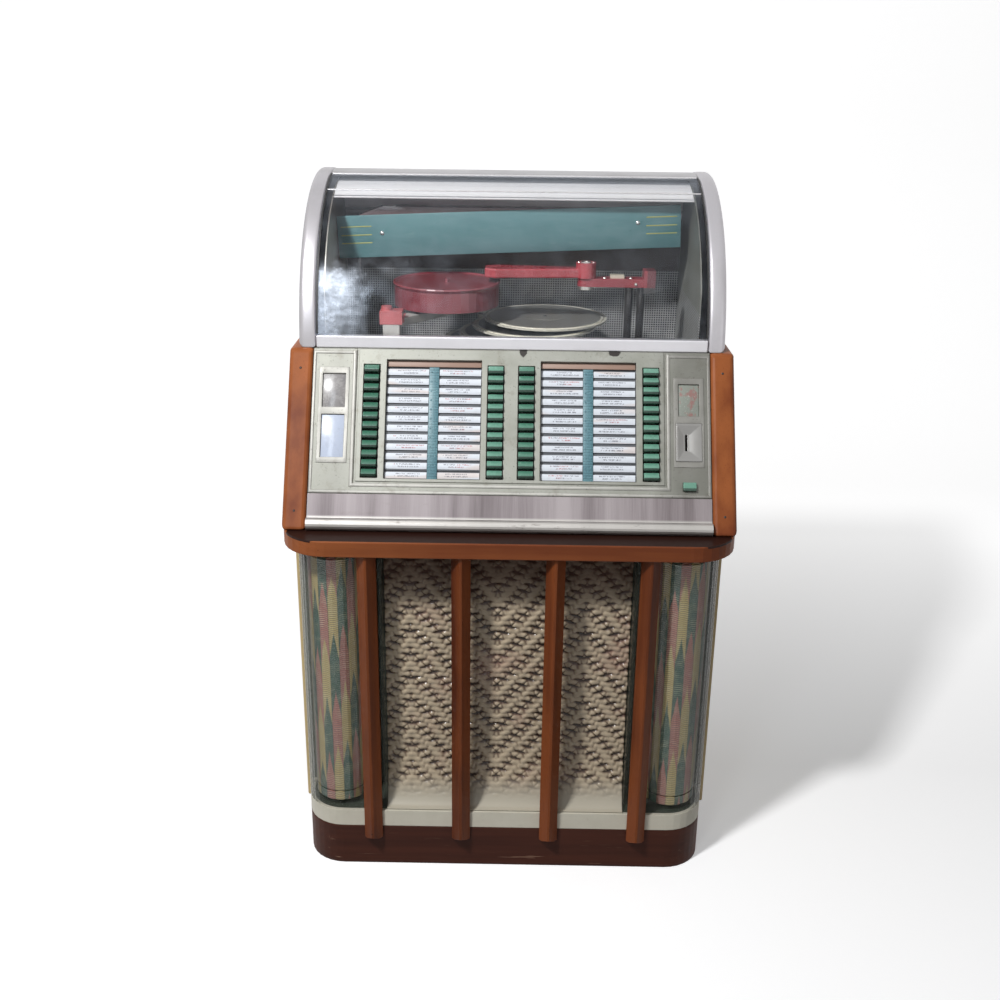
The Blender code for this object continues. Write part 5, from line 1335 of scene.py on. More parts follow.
@dataclass
class Cabinet:
    """Plinth, band, panels, fins, ledge, cheeks and the boards inside and behind."""

    ledge_half: float = 0.4385
    back_plane: float = 0.332
    screw_radius: float = 0.0042
    pin_radius: float = 0.0026
    pin_places: tuple[Pair, ...] = ((0.4257, 1.052), (0.4257, 0.800))

    def dress(self) -> None:
        """Gives the cabinet's nodes their finishes."""
        dress(PlinthStain().material(), "plinth")
        dress(AgedPaint("band_paint", (0.66, 0.63, 0.53), (0.42, 0.38, 0.29)).material(), "trim_band")
        dress(
            AgedPaint("side_cream", (0.58, 0.44, 0.22), (0.40, 0.28, 0.13), 0.34).material(),
            "side_panel_left",
            "side_panel_right",
        )
        dress(VarnishedWood("cheek_varnish").material(), "cheek_left", "cheek_right")
        # Painted shade on the ledge's top and upper front edge, where the apron's roll shades it.
        low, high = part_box("ledge_moulding")
        lip, skin = 0.0045, 0.0040
        darkened = ((-self.ledge_half, low[1] + lip, high[2] - skin), (self.ledge_half, 1.0, 2.0))
        light, dark = (0.29, 0.088, 0.028), (0.165, 0.042, 0.014)
        ledge = VarnishedWood("ledge_varnish", light, dark, Grain.ALONG_X, darkened=darkened)
        dress(ledge.material(), "ledge_moulding")
        fins = VarnishedWood("fin_varnish", (0.190, 0.050, 0.014), (0.070, 0.015, 0.005))
        dress(fins.material(), "fin_1", "fin_2", "fin_3", "fin_4")
        dress(FibreBoard("case_ply", painted=-0.150).material(), "cabinet_case", "baffle_board")
        back = FibreBoard("back_hardboard", (0.21, 0.125, 0.065), (0.115, 0.062, 0.032))
        dress(back.material(), "rear_door", "upper_back")

    def back_screws(self) -> None:
        """Screws round the rear door and the upper back board."""
        plating = PlainGloss("screw_plating", (0.42, 0.40, 0.36), 0.32, 0.9).material()
        low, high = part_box("rear_door")
        rows = (low[2] + 0.03, (low[2] + high[2]) / 2 + 0.09, high[2] - 0.03)
        door = [(x, z) for x in (low[0] + 0.03, high[0] - 0.03) for z in rows]
        self.screws("door_screws", door, plating, "rear_door")
        low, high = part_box("upper_back")
        board = [(x, z) for x in (-0.37, -0.125, 0.125, 0.37) for z in (low[2] + 0.025, high[2] - 0.05)]
        self.screws("upper_back_screws", board, plating, "cabinet")

    def screws(self, name: str, places: Sequence[Pair], material: Material, body: str) -> None:
        """Round-head screws on the machine's back.

        Args:
            name: The piece's name.
            places: Their (x, z) places.
            material: Their material.
            body: The body that they are driven into.
        """
        shares = ((0, 0.0018), (0.5, 0.0017), (0.85, 0.0011), (1, 0.0), (1, -0.0002), (0, -0.0002))
        dome = [(self.screw_radius * share, height) for share, height in shares]

        def build(shape: Shape) -> None:
            """Fills the bmesh with the screws."""
            for x, z in places:
                add_turned(shape, dome, seat_at((x, self.back_plane, z), -1), 14)

        place_piece(name, build, material, body)

    def cheek_pins(self) -> None:
        """Two dark nail heads in the front edge of each cheek, seated on its surface."""
        dark = PlainGloss("pin_iron", (0.020, 0.012, 0.010), 0.35, 0.4).material()
        shares = ((0, 0.0007), (0.7, 0.0005), (1, 0.0), (1, -0.0012), (0, -0.0012))
        dome = [(self.pin_radius * share, height) for share, height in shares]

        def build(shape: Shape) -> None:
            """Fills the bmesh with the pins."""
            for side, cheek in ((-1, "cheek_left"), (1, "cheek_right")):
                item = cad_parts[cheek]
                for x, z in self.pin_places:
                    hit, spot, normal, _ = item.ray_cast(Vector((side * x, -1.0, z)), Vector((0.0, 1.0, 0.0)))
                    if hit:
                        seat = Matrix.Translation(spot) @ normal.to_track_quat("Z", "Y").to_matrix().to_4x4()
                        add_turned(shape, dome, seat, 12)

        place_piece("cheek_pins", build, dark, "cabinet")

    def make(self) -> None:
        """Dresses the cabinet and adds its screws and pins."""
        self.dress()
        self.back_screws()
        self.cheek_pins()


@dataclass
class Grille:
    """Moulded grille of wavy ropes, crossed by slanting grooves, that sweeps forward to a plain shelf."""

    half: float = 0.2514
    top: float = 0.7316
    back: float = -0.262
    reach: float = 0.044
    foot: float = 0.136
    rise: float = 0.140
    relief: float = 0.0062
    row: float = 0.0135
    rope: float = 0.0072
    sway: float = 0.0034
    period: float = 0.054
    fold: float = 0.180
    fold_start: float = -0.200
    step: float = 0.0022
    shelf: float = 0.026
    fading: float = 0.050
    shelf_level: float = 0.55
    wall: float = 0.0015

    def path(self) -> tuple[np.ndarray, np.ndarray, np.ndarray]:
        """Points down the grille's side profile.

        Returns:
            Distances along the path, points of (y, z), and outward normals of (y, z).
        """
        upright = np.arange(self.top, self.foot + self.rise, -self.step)
        turns = np.linspace(0, math.pi / 2, 72)
        sweep = np.stack([self.back - self.reach * (1 - np.cos(turns)), self.foot + self.rise * (1 - np.sin(turns))], 1)
        line = np.concatenate([np.stack([np.full_like(upright, self.back), upright], 1), sweep])
        along = np.gradient(line, axis=0)
        along /= np.linalg.norm(along, axis=1)[:, None]
        normals = np.stack([along[:, 1], -along[:, 0]], axis=1)
        gaps = np.linalg.norm(np.diff(line, axis=0), axis=1)
        return np.concatenate([[0.0], np.cumsum(gaps)]), line, normals

    def height(self, x: np.ndarray, down: np.ndarray) -> np.ndarray:
        """The relief from 0 in its gaps to 1 on its ropes.

        Args:
            x: Places across the grille.
            down: Places down the grille.

        Returns:
            The relief at each place.
        """
        turns = (x - self.fold_start) / self.fold
        across = self.fold * (1 - np.abs((turns % 2.0) - 1.0))
        nearest = np.round(down / self.row)
        best = np.zeros_like(x)
        for shift in (-1, 0, 1):
            rope = nearest + shift
            lag = math.tau * (across - rope * self.row) / self.period
            off = (down - rope * self.row - self.sway * np.sin(lag)) / self.rope
            round_top = np.sqrt(np.clip(1 - off * off, 0, 1))
            strand = (across + off * 0.0022 - rope * self.row * 0.5) / (self.period / 2)
            cut = np.abs(strand % 1.0 - 0.5) * self.period / 2
            nick = 0.55 + 0.45 * np.clip((cut - 0.0009) / 0.0024, 0, 1)
            best = np.maximum(best, round_top * nick * (0.84 + 0.16 * np.cos(lag * 2)))
        slant = np.abs(((across - down) / self.period) % 1.0 - 0.5) * self.period
        return best * (0.38 + 0.62 * np.clip((slant - 0.0010) / 0.0026, 0, 1))

    def make(self) -> None:
        """Builds the relief sheet in place of the plain node."""
        down, line, normals = self.path()
        xs = np.linspace(-self.half, self.half, int(2 * self.half / self.step))
        grid_x, grid_down = np.meshgrid(xs, down)
        relief = self.height(grid_x, grid_down)
        fade = np.clip((down[-1] - self.shelf - grid_down) / self.fading, 0, 1)
        shaped = relief * fade + (1 - fade) * self.shelf_level
        lift = (shaped - 0.5) * self.relief
        lift[-2:] = 0.0
        y = line[:, 0][:, None] + normals[:, 0][:, None] * lift
        z = line[:, 1][:, None] + normals[:, 1][:, None] * lift
        points = np.stack([grid_x, y, z], axis=2).reshape(-1, 3)
        rows, columns = grid_x.shape
        corner = (np.arange(rows - 1)[:, None] * columns + np.arange(columns - 1)[None, :]).reshape(-1)
        faces = np.stack([corner, corner + columns, corner + columns + 1, corner + 1], axis=1)
        mesh = bpy.data.meshes.new("grille_relief")
        mesh.from_pydata(points.tolist(), [], faces.tolist())
        for name, values in (("relief", shaped), ("shelf", 1 - fade)):
            layer = mesh.attributes.new(name, "FLOAT", "POINT")
            layer.data.foreach_set("value", values.reshape(-1).astype(np.float32))
        made = place_piece("grille_relief", mesh, GrilleResin().material(), "cabinet", crisp=80.0)
        shell = made.modifiers.new("wall", "SOLIDIFY")
        shell.thickness = self.wall
        shell.offset = -1.0
        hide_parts("grille_panel")


@dataclass
class Pilasters:
    """Clear corner covers with the coloured drums that turn behind them."""

    axis: Pair = (0.353, -0.237)

    def make(self) -> None:
        """Dresses both sides and adds the skirt at each drum's foot."""
        dress(FlutedPlastic().material(), "pilaster_cover_left", "pilaster_cover_right")
        for side, label in ((-1, "left"), (1, "right")):
            centre = (side * self.axis[0], self.axis[1])
            film = ColourFilm(f"drum_film_{label}", centre).material()
            dress(film, f"colour_cylinder_{label}")
            self.skirt(label, centre, film)

    def skirt(self, label: str, centre: Pair, film: Material) -> None:
        """The lower end of one drum's film, which runs on below its core.

        Args:
            label: Which side it is on.
            centre: The drum's axis.
            film: The drum's material.
        """
        inner, middle, outer = 0.0545, 0.0558, 0.0568
        top, edge, foot = 0.1675, 0.1480, 0.1468
        below = [(outer, edge), (middle, foot), (inner, edge)]
        around = [(middle, top), (outer, top), *below, (inner, top), (middle, top)]

        def build(shape: Shape) -> None:
            """Fills the bmesh with the ring."""
            add_turned(shape, around, seat_at((*centre, 0.0)), 48)

        place_piece(f"drum_skirt_{label}", build, film, f"colour_cylinder_{label}")


@dataclass
class Selector:
    """Sloping panel with its title cards, key bank, instruction cards and coin entry."""

    window_left: float = 0.0595
    window_width: float = 0.1925
    window_margin: float = 0.0192
    window_height: float = 0.246
    cards_margin: float = 0.0135
    card_gap: float = 0.20
    card_share: float = 0.66
    channel_share: float = 0.052
    channel_depths: Pair = (0.0108, 0.0141)
    key_columns: tuple[float, ...] = (-0.031, 0.031, 0.2815)
    key_back: float = 0.0160
    face: float = 0.004
    rim: tuple[Pair, ...] = (
        (-0.3165, 0.3695),
        (-0.3975, 0.3695),
        (-0.3975, 0.0825),
        (0.3975, 0.0825),
        (0.3975, 0.3695),
        (0.3165, 0.3695),
    )
    border: tuple[Pair, ...] = (
        (-0.3165, 0.3735),
        (-0.3165, 0.0965),
        (0.3165, 0.0965),
        (0.3165, 0.3735),
    )

    def dress(self) -> None:
        """Gives the section's nodes their finishes."""
        dress(PittedPanel().material(), "selector_panel")
        dress(BrushedSteel().material(), "apron")
        keys = KeyResin().material()
        dress(keys, "reject_button", *(f"key_{index:02d}" for index in range(1, 13)))
        rack = GlossEnamel("rack_shadow", (0.060, 0.066, 0.078), (0.15, 0.15, 0.15), 0.5).material()
        dress(rack, "title_rack_left", "title_rack_right")
        self.fixed_keys(keys)

    def fixed_keys(self, material: Material) -> None:
        """The keys of the second to fourth columns with their wedge caps, and the plate behind.

        Args:
            material: The keys' material.
        """

        def caps(shape: Shape) -> None:
            """Fills the bmesh with the 36 keys."""
            for x in self.key_columns:
                for row in range(KEYS.rows):
                    low = KEYS.first - KEYS.height / 2 - row * KEYS.pitch
                    high = low + KEYS.height
                    nose = low + KEYS.nose * KEYS.height
                    wedge = [(self.key_back, low), (self.key_back, high), *zip(KEYS.depths, (high, nose, low))]
                    add_bar(shape, wedge, x - KEYS.width / 2, x + KEYS.width / 2, 0.0009)

        def plate(shape: Shape) -> None:
            """Fills the bmesh with the back plate and the four guide strips."""
            add_block(shape, (-0.2965, 0.0201, 0.098), (0.2965, 0.0231, 0.358), 0.0006, 1)
            for x in (-0.2815, *self.key_columns):
                add_block(shape, (x - 0.0125, 0.0158, 0.106), (x + 0.0125, 0.0203, 0.350), 0.0005, 1)

        seat = SLOPE.matrix()
        made = place_piece("fixed_keys", caps, material, "cabinet", seat)
        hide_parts("key_frame")
        steel = PlainGloss("key_plate_steel", (0.035, 0.035, 0.035), 0.5, 0.5).material()
        made = place_piece("key_plate", plate, steel, "cabinet", seat)
        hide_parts("key_frame")

    def title_cards(self) -> None:
        """Two columns of bowed title cards in each window, with the channel between them."""
        paper, teal = TitleCard().material(), TealBead().material()
        header = AgedPaint("card_header", (0.34, 0.22, 0.17), (0.42, 0.30, 0.26), 0.5, 0.8).material()
        for side, label in ((-1, "left"), (1, "right")):
            middle = side * (self.window_left + self.window_width / 2)
            left, right = middle - self.window_width / 2, middle + self.window_width / 2
            top = SLOPE.length - self.window_margin
            first = top - self.cards_margin
            pitch = (self.window_height - self.cards_margin) / KEYS.rows
            channel = self.window_width * self.channel_share

            def cards(shape: Shape) -> None:
                """Fills the bmesh with this window's cards."""
                for row in range(KEYS.rows):
                    high = first - row * pitch - pitch * self.card_gap
                    low = high - pitch * self.card_share
                    self.card(shape, left + 0.0015, middle - channel - 0.0008, low, high)
                    self.card(shape, middle + channel + 0.0008, right - 0.0015, low, high)

            def strip(shape: Shape) -> None:
                """Fills the bmesh with the channel down the middle."""
                front, back = self.channel_depths
                rivet = [(0, 0.0009), (0.0016, 0.0007), (0.0022, 0.0)]
                low, high = (middle - channel, front, top - self.window_height), (middle + channel, back, first)
                add_block(shape, low, high, 0.0008, 2)
                for row in range(KEYS.rows):
                    notch = first - row * pitch - pitch * 0.53
                    for x in (middle - channel * 0.55, middle + channel * 0.55):
                        add_turned(shape, rivet, seat_at((x, front, notch), 1), 10)

            def head(shape: Shape) -> None:
                """Fills the bmesh with the coloured strip over the cards."""
                low, high = (left + 0.0008, 0.0118, first + 0.0006), (right - 0.0008, 0.0141, top - 0.0008)
                add_block(shape, low, high, 0.0006, 2)

            seat = SLOPE.matrix()
            place_piece(f"title_cards_{label}", cards, paper, "cabinet", seat)
            place_piece(f"title_channel_{label}", strip, teal, "cabinet", seat)
            place_piece(f"title_head_{label}", head, header, "cabinet", seat)

    def card(self, shape: Shape, start: float, end: float, low: float, high: float) -> None:
        """Adds one card that bows slightly outward between its top and bottom edges.

        Args:
            shape: The bmesh that takes it.
            start: Its left edge.
            end: Its right edge.
            low: Its bottom edge.
            high: Its top edge.
        """
        steps, depth, bow, thickness = 5, 0.0136, 0.0011, 0.0005
        shares = [step / steps for step in range(steps + 1)]
        front = [(depth - math.sin(math.pi * share) * bow, low + (high - low) * share) for share in shares]
        back = [(y + thickness, z) for y, z in front]
        add_bar(shape, front + back[::-1], start, end)

    def coin_plate(self) -> None:
        """Coin plate with a deep four-sided recess that leads to an upright slot.

        Each ring has its middle along X, its half width, its half height and its depth.
        """
        colour, stain = (0.30, 0.295, 0.285), (0.17, 0.160, 0.145)
        metal = SatinCasting("coin_plate", colour, stain, roughness=0.30, metallic=0.55).material()
        x, z = 0.357, 0.1922
        rings = [
            (x, 0.026, 0.039, 0.0024),
            (x, 0.0256, 0.0386, 0.0020),
            (x, 0.0218, 0.0348, 0.0020),
            (x - 0.004, 0.0064, 0.0175, 0.0084),
            (x - 0.005, 0.0022, 0.0165, 0.0084),
            (x - 0.005, 0.0022, 0.0165, 0.0160),
            (x, 0.026, 0.039, 0.0160),
        ]

        def build(shape: Shape) -> None:
            """Fills the bmesh with the plate."""
            signs = ((-1, -1), (1, -1), (1, 1), (-1, 1))
            corners = [
                [shape.verts.new((middle + east * wide, y, z + up * tall)) for east, up in signs]
                for middle, wide, tall, y in rings
            ]
            join_rings(shape, [*corners, corners[0]])

        made = place_piece("coin_plate", build, metal, "cabinet", SLOPE.matrix(), 20.0)
        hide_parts("coin_entry")

    def borders(self) -> None:
        """Raised beads round the panel and its side zones, and the frames of the small windows."""
        material = PittedPanel("border_casting", (0.36, 0.355, 0.325), (0.50, 0.49, 0.455)).material()

        def build(shape: Shape) -> None:
            """Fills the bmesh with every moulding."""
            add_bead(shape, self.rim, 0.0065, 0.0016, self.face)
            add_bead(shape, self.border, 0.0075, 0.0018, self.face)
            front, back, rounding = 0.0031, 0.0043, 0.0005
            columns, rows = (-0.3875, -0.380, -0.334, -0.3265), (0.1405, 0.1522, 0.2402, 0.2552, 0.3252, 0.3385)
            add_plate(shape, columns, rows, {(1, 1), (1, 3)}, front, back, rounding)
            columns = (0.3265, 0.3308, 0.336, 0.378, 0.3832, 0.3875)
            rows = (0.141, 0.153, 0.2314, 0.2462, 0.3122, 0.325)
            add_plate(shape, columns, rows, {(1, 1), (2, 1), (3, 1), (2, 3)}, front, back, rounding)

        place_piece("panel_borders", build, material, "cabinet", SLOPE.matrix())

    def side_cards(self) -> None:
        """Blank blotched cards behind the three small windows, each with its middle, width, foot and top."""
        grey, white, green = (0.250, 0.236, 0.236), (0.490, 0.550, 0.680), (0.240, 0.262, 0.225)
        credit = BlotchedCard("credit_card_stock", grey, (0.33, 0.32, 0.31), (0.10, 0.10, 0.11), 0.3)
        notice = BlotchedCard("notice_card_stock", white, (0.40, 0.45, 0.58), (0.30, 0.33, 0.40), 0.25)
        coin = BlotchedCard("coin_card_stock", green, (0.20, 0.21, 0.185), (0.30, 0.10, 0.09), 0.7)
        for look, x, width, low, high in (
            (credit, -0.357, 0.0455, 0.2552, 0.3248),
            (notice, -0.357, 0.0455, 0.1522, 0.2398),
            (coin, 0.357, 0.0415, 0.2462, 0.3118),
        ):

            def build(shape: Shape) -> None:
                """Fills the bmesh with the card."""
                add_block(shape, (x - width / 2, 0.0062, low), (x + width / 2, 0.0079, high), 0.0006, 2)

            name = look.name.removesuffix("_stock")
            place_piece(name, build, look.material(), "cabinet", SLOPE.matrix())

    def make(self) -> None:
        """Dresses the section and adds its cards and mouldings."""
        self.dress()
        self.title_cards()
        self.coin_plate()
        self.borders()
        self.side_cards()


@dataclass
class Lid:
    """Domed lid: castings, glass, rail, rear sheet, gaskets and beads."""

    glass_half: float = 0.3967
    glass: float = 0.3480
    start: float = 8.9
    end: float = 80.0
    casting: Pair = (0.397, 0.433)
    back: float = 0.340
    drop: float = 0.027
    rim: float = 0.009
    side_wall: float = 0.006
    inner_round: float = 0.0075
    outer_round: float = 0.0125

    def dress(self) -> None:
        """Gives the lid's nodes their finishes."""
        rail = SatinCasting("lid_rail", (0.70, 0.69, 0.72), (0.52, 0.51, 0.52), grain=Grain.ALONG_X, roughness=0.42)
        dress(rail.material(), "dome_rail")
        sheet = SatinCasting("lid_sheet", (0.40, 0.39, 0.405), (0.28, 0.27, 0.27), Grain.ALONG_X, 0.30)
        dress(sheet.material(), "dome_rear")
        dress(ClearSheet("lid_glass").material(), "dome_glass")

    def castings(self) -> None:
        """Both side castings with smooth rounded rims, hollow towards the inside, in place of the plain ones."""
        metal = SatinCasting("lid_casting").material()
        inner, outer = self.casting
        stations = [(self.rim, outer - self.side_wall), (self.rim, inner)]
        for step in range(6):
            turn = math.pi / 2 * step / 5
            radius = self.inner_round
            stations.append((radius * (1 - math.sin(turn)), inner + radius * (1 - math.cos(turn))))
        for step in range(9):
            turn = math.pi / 2 * step / 8
            radius = self.outer_round
            stations.append((radius * (1 - math.cos(turn)), outer - radius * (1 - math.sin(turn))))
        for side, label in ((-1, "left"), (1, "right")):

            def build(shape: Shape) -> None:
                """Fills the bmesh with one casting."""
                add_loft(shape, [[(side * x, y, z) for y, z in self.outline(inset)] for inset, x in stations])

            made = place_piece(f"lid_casting_{label}", build, metal, "lid")
            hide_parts(f"dome_casting_{label}")

    def outline(self, inset: float) -> list[Pair]:
        """The casting's side outline as (y, z), moved inward by an inset."""
        reach = DOME.radius - inset - 0.0001
        start = math.degrees(math.asin((self.drop + inset) / reach))
        end = 180 - math.degrees(math.acos((self.back - DOME.y - inset) / reach))
        return DOME.path(reach, start, end, 56) + [(self.back - inset, DOME.z + self.drop + inset)]

    def gaskets(self) -> None:
        """Black seals along both edges of the glass."""
        rubber = PlainGloss("seal_rubber", (0.012, 0.012, 0.012), 0.55).material()
        path = DOME.path(self.glass - 0.0002, self.start, self.end)[::-1]

        def build(shape: Shape) -> None:
            """Fills the bmesh with both seals."""
            for side in (-1, 1):
                ends = sorted((side * (self.glass_half - 0.0032), side * (self.glass_half + 0.0002)))
                add_rail(shape, path, ends[0], ends[1], -0.0016)

        place_piece("glass_seals", build, rubber, "lid")

    def beads(self) -> None:
        """The pale bead across the glass and the bright one where it meets the rear sheet."""
        bright = SatinCasting("bead_metal", (0.72, 0.71, 0.72), (0.5, 0.5, 0.5), Grain.ALONG_X, 0.22).material()
        height = 0.0018
        for name, degrees, half_width in (("glass_bead", 66.0, 0.0022), ("crown_bead", 80.1, 0.0036)):
            centre = Vector(DOME.point(self.glass - 0.0003, degrees))
            turn = math.radians(degrees)
            outward, along = Vector((-math.cos(turn), math.sin(turn))), Vector((math.sin(turn), math.cos(turn)))
            bends = [math.pi * step / 8 for step in range(9)]
            outline = [
                centre + along * math.cos(bend) * half_width + outward * math.sin(bend) * height for bend in bends
            ]

            def build(shape: Shape) -> None:
                """Fills the bmesh with the bead."""
                add_bar(shape, outline, -self.glass_half + 0.0035, self.glass_half - 0.0035)

            place_piece(name, build, bright, "lid")

    def make(self) -> None:
        """Dresses the lid and adds its castings, seals and beads."""
        self.dress()
        self.castings()
        self.gaskets()
        self.beads()


@dataclass
class Header:
    """Board across the dome, hung a little askew, with its rules and screws and the lamp channel behind it."""

    centre: Point = (-0.010, 0.1518, 1.2905)
    askew: float = 2.6
    half: float = 0.370
    rise: float = 0.045
    thickness: float = 0.0036
    rule_heights: tuple[float, ...] = (0.020, 0.002, -0.015)
    rule_length: float = 0.066
    screw_places: tuple[Pair, ...] = ((-0.274, 0.006), (0.278, 0.010))
    channel_back: float = 0.194

    def seat(self) -> Matrix:
        """Where the board's own frame stands, with its front at Y 0."""
        return Matrix.Translation(self.centre) @ Matrix.Rotation(math.radians(-self.askew), 4, "Y")

    def make(self) -> None:
        """Builds the board in place of the level node, and adds what is fixed to it."""
        hood = SatinCasting("hood_sheet", (0.78, 0.77, 0.78), (0.60, 0.59, 0.59), Grain.ALONG_X, 0.45, 0.10)
        dress(hood.material(), "inner_hood")

        def build(shape: Shape) -> None:
            """Fills the bmesh with the board."""
            add_block(shape, (-self.half, 0.0, -self.rise), (self.half, self.thickness, self.rise), 0.0010, 2)

        made = place_piece("header_plate", build, HeaderPaint().material(), "cabinet", self.seat())
        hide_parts("header_board")
        self.rules()
        self.screws()
        self.lamp()

    def rules(self) -> None:
        """Three thin yellow lines at each end of the board."""
        yellow = AgedPaint("rule_yellow", (0.46, 0.45, 0.10), (0.20, 0.28, 0.17), 0.45, 0.9).material()
        reach = self.half - 0.008

        def build(shape: Shape) -> None:
            """Fills the bmesh with the six lines."""
            for z in self.rule_heights:
                for left in (-reach, reach - self.rule_length):
                    low, high = (left, -0.0004, z), (left + self.rule_length, 0.0004, z + 0.0024)
                    add_block(shape, low, high, 0.0003, 1)

        place_piece("header_rules", build, yellow, "cabinet", self.seat())

    def screws(self) -> None:
        """Two domed screws that hold the board."""
        plating = PlainGloss("header_screw", (0.50, 0.54, 0.54), 0.25, 0.7).material()
        dome = [(0, 0.0026), (0.0022, 0.0023), (0.0042, 0.0012), (0.0050, 0.0), (0, -0.0004)]

        def build(shape: Shape) -> None:
            """Fills the bmesh with the screws."""
            for x, z in self.screw_places:
                add_turned(shape, dome, seat_at((x, 0.0, z), 1), 16)

        place_piece("header_screws", build, plating, "cabinet", self.seat())

    def lamp(self) -> None:
        """A level dark lamp channel with a sloped end behind the board, its tube and a bare label."""
        dark = GlossEnamel("lamp_channel", (0.040, 0.012, 0.014), (0.10, 0.07, 0.06), 0.4).material()
        glass = PlainGloss("lamp_tube", (0.75, 0.74, 0.70), 0.15).material()
        back, top = self.centre[1] + self.thickness, 1.3405

        def channel(shape: Shape) -> None:
            """Fills the bmesh with the channel."""
            left, shoulder, right = -0.335, -0.285, 0.262
            low, corner = top - 0.046, top - 0.020
            outline = [(left, corner), (shoulder, top), (right, top), (right, low), (left, low)]
            add_loft(shape, [[(x, y, z) for x, z in outline] for y in (back + 0.0002, self.channel_back)], 0.0012)

        def tube(shape: Shape) -> None:
            """Fills the bmesh with the tube that is let into the channel's underside."""
            length, end, radius, rounding = 0.560, 0.011, 0.0125, 0.002
            around = [(0, 0.0), (end, 0.0), (radius, rounding), (radius, length - rounding), (end, length), (0, length)]
            add_turned(shape, around, seat_at((-0.320, 0.176, top - 0.052), 1, "Y"), 20)

        def label(shape: Shape) -> None:
            """Fills the bmesh with a blank label on the channel's upper edge."""
            add_block(shape, (-0.282, back + 0.0004, top - 0.012), (-0.254, back + 0.014, top + 0.0006), 0.0004, 1)

        place_piece("lamp_channel", channel, dark, "cabinet")
        place_piece("lamp_tube", tube, glass, "cabinet")
        card = AgedPaint("blank_label", (0.70, 0.70, 0.68), (0.5, 0.5, 0.48)).material()
        place_piece("lamp_label", label, card, "cabinet")


@dataclass
class Mechanism:
    """Turntable, arm, trays and posts on the deck, with their small fittings."""

    red: Colour = (0.190, 0.030, 0.040)
    light_grey: Colour = (0.400, 0.390, 0.365)
    lug: tuple[Point, Point] = ((-1.0, -1.0, 1.130), (-0.222, 1.0, 2.0))
    tray_post: Pair = (-0.065, 0.255)
    tray_arm: float = 0.180
    tray_fan: Pair = (-40, -11)
    labels: tuple[Colour, ...] = ((0.42, 0.40, 0.36), (0.40, 0.32, 0.12), (0.06, 0.12, 0.22), (0.30, 0.05, 0.04))
    pivot: Pair = (0.156, 0.100)

    def dress(self) -> None:
        """Gives the mechanism's nodes their finishes."""
        dress(GlossEnamel("turntable_red", self.red, (0.12, 0.02, 0.02)).material(), "turntable")
        dress(GlossEnamel("arm_red", (0.340, 0.040, 0.052), (0.14, 0.02, 0.02), 0.20).material(), "tonearm")
        dress(BracketEnamel().material(), "tonearm_support")
        carrier = GlossEnamel("carrier_paint", self.light_grey, (0.2, 0.2, 0.2), 0.36, self.lug, (0.40, 0.095, 0.100))
        dress(carrier.material(), "turntable_carrier")
        dress(SatinCasting("tray_post_steel", roughness=0.25).material(), "tray_post")
        deck = GlossEnamel("deck_black", (0.035, 0.032, 0.030), (0.12, 0.11, 0.10), 0.45)
        dress(deck.material(), "mechanism_base")
        dress(ScreenWall().material(), "inner_screen")
        for index, label in enumerate(self.labels):
            turn = math.radians(self.tray_fan[0] + self.tray_fan[1] * index)
            centre = Vector(self.tray_post) + Vector((math.cos(turn), math.sin(turn))) * self.tray_arm
            tray = RecordTray(f"record_tray_{index + 1}", tuple(centre), label, bare=index == 0)
            dress(tray.material(), f"tray_{index + 1}")

    def arm_fittings(self) -> None:
        """Ring and screws on the pivot block, and the bracket's screws and stud."""
        x, y = self.pivot
        low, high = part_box("tonearm")
        bright = PlainGloss("arm_plating", (0.62, 0.61, 0.58), 0.22, 0.9).material()

        def cap(shape: Shape) -> None:
            """Fills the bmesh with the pivot's cap ring and two screws that move with the arm."""
            ring = [(0.006, 0.0016), (0.010, 0.0016), (0.0115, 0.0), (0.0055, 0.0), (0.006, 0.0016)]
            add_turned(shape, ring, seat_at((x, y, high[2])), 24)
            dome = [(0, 0.0016), (0.0018, 0.0013), (0.0024, 0.0), (0, -0.0002)]
            for side in (-1, 1):
                add_turned(shape, dome, seat_at((x + side * 0.0155, y - 0.003, high[2])), 12)

        def studs(shape: Shape) -> None:
            """Fills the bmesh with the bracket's screws and the bright stud on its front."""
            dome = [(0, 0.0022), (0.003, 0.0018), (0.004, 0.0), (0, -0.0002)]
            for spot in ((0.196, y - 0.006), (0.252, y - 0.006)):
                add_turned(shape, dome, seat_at((*spot, low[2] - 0.0002)), 14)
            stud = [(0, 0.004), (0.0025, 0.0035), (0.0035, 0.0), (0, -0.0004)]
            add_turned(shape, stud, seat_at((0.262, y - 0.017, low[2] - 0.0103), 1), 14)

        place_piece("pivot_cap", cap, bright, "tonearm")
        place_piece("bracket_studs", studs, bright, "cabinet")

    def pickup(self) -> None:
        """Pickup cartridge and needle under the arm's head."""
        low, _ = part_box("tonearm")
        x, y, z = low[0] + 0.022, self.pivot[1], low[2]

        def build(shape: Shape) -> None:
            """Fills the bmesh with the cartridge, its clamp screw and the needle."""
            add_block(shape, (x - 0.012, y - 0.008, z - 0.0062), (x + 0.012, y + 0.008, z + 0.0002), 0.0018, 2)
            needle = [(0, 0.003), (0.0009, 0.003), (0.0005, 0.0006), (0, 0.0)]
            add_turned(shape, needle, seat_at((x - 0.008, y, z - 0.0090)), 10)

        shell = PlainGloss("pickup_shell", (0.10, 0.09, 0.08), 0.35).material()
        place_piece("pickup", build, shell, "tonearm")

    def make(self) -> None:
        """Dresses the mechanism and adds its fittings."""
        self.dress()
        self.arm_fittings()
        self.pickup()


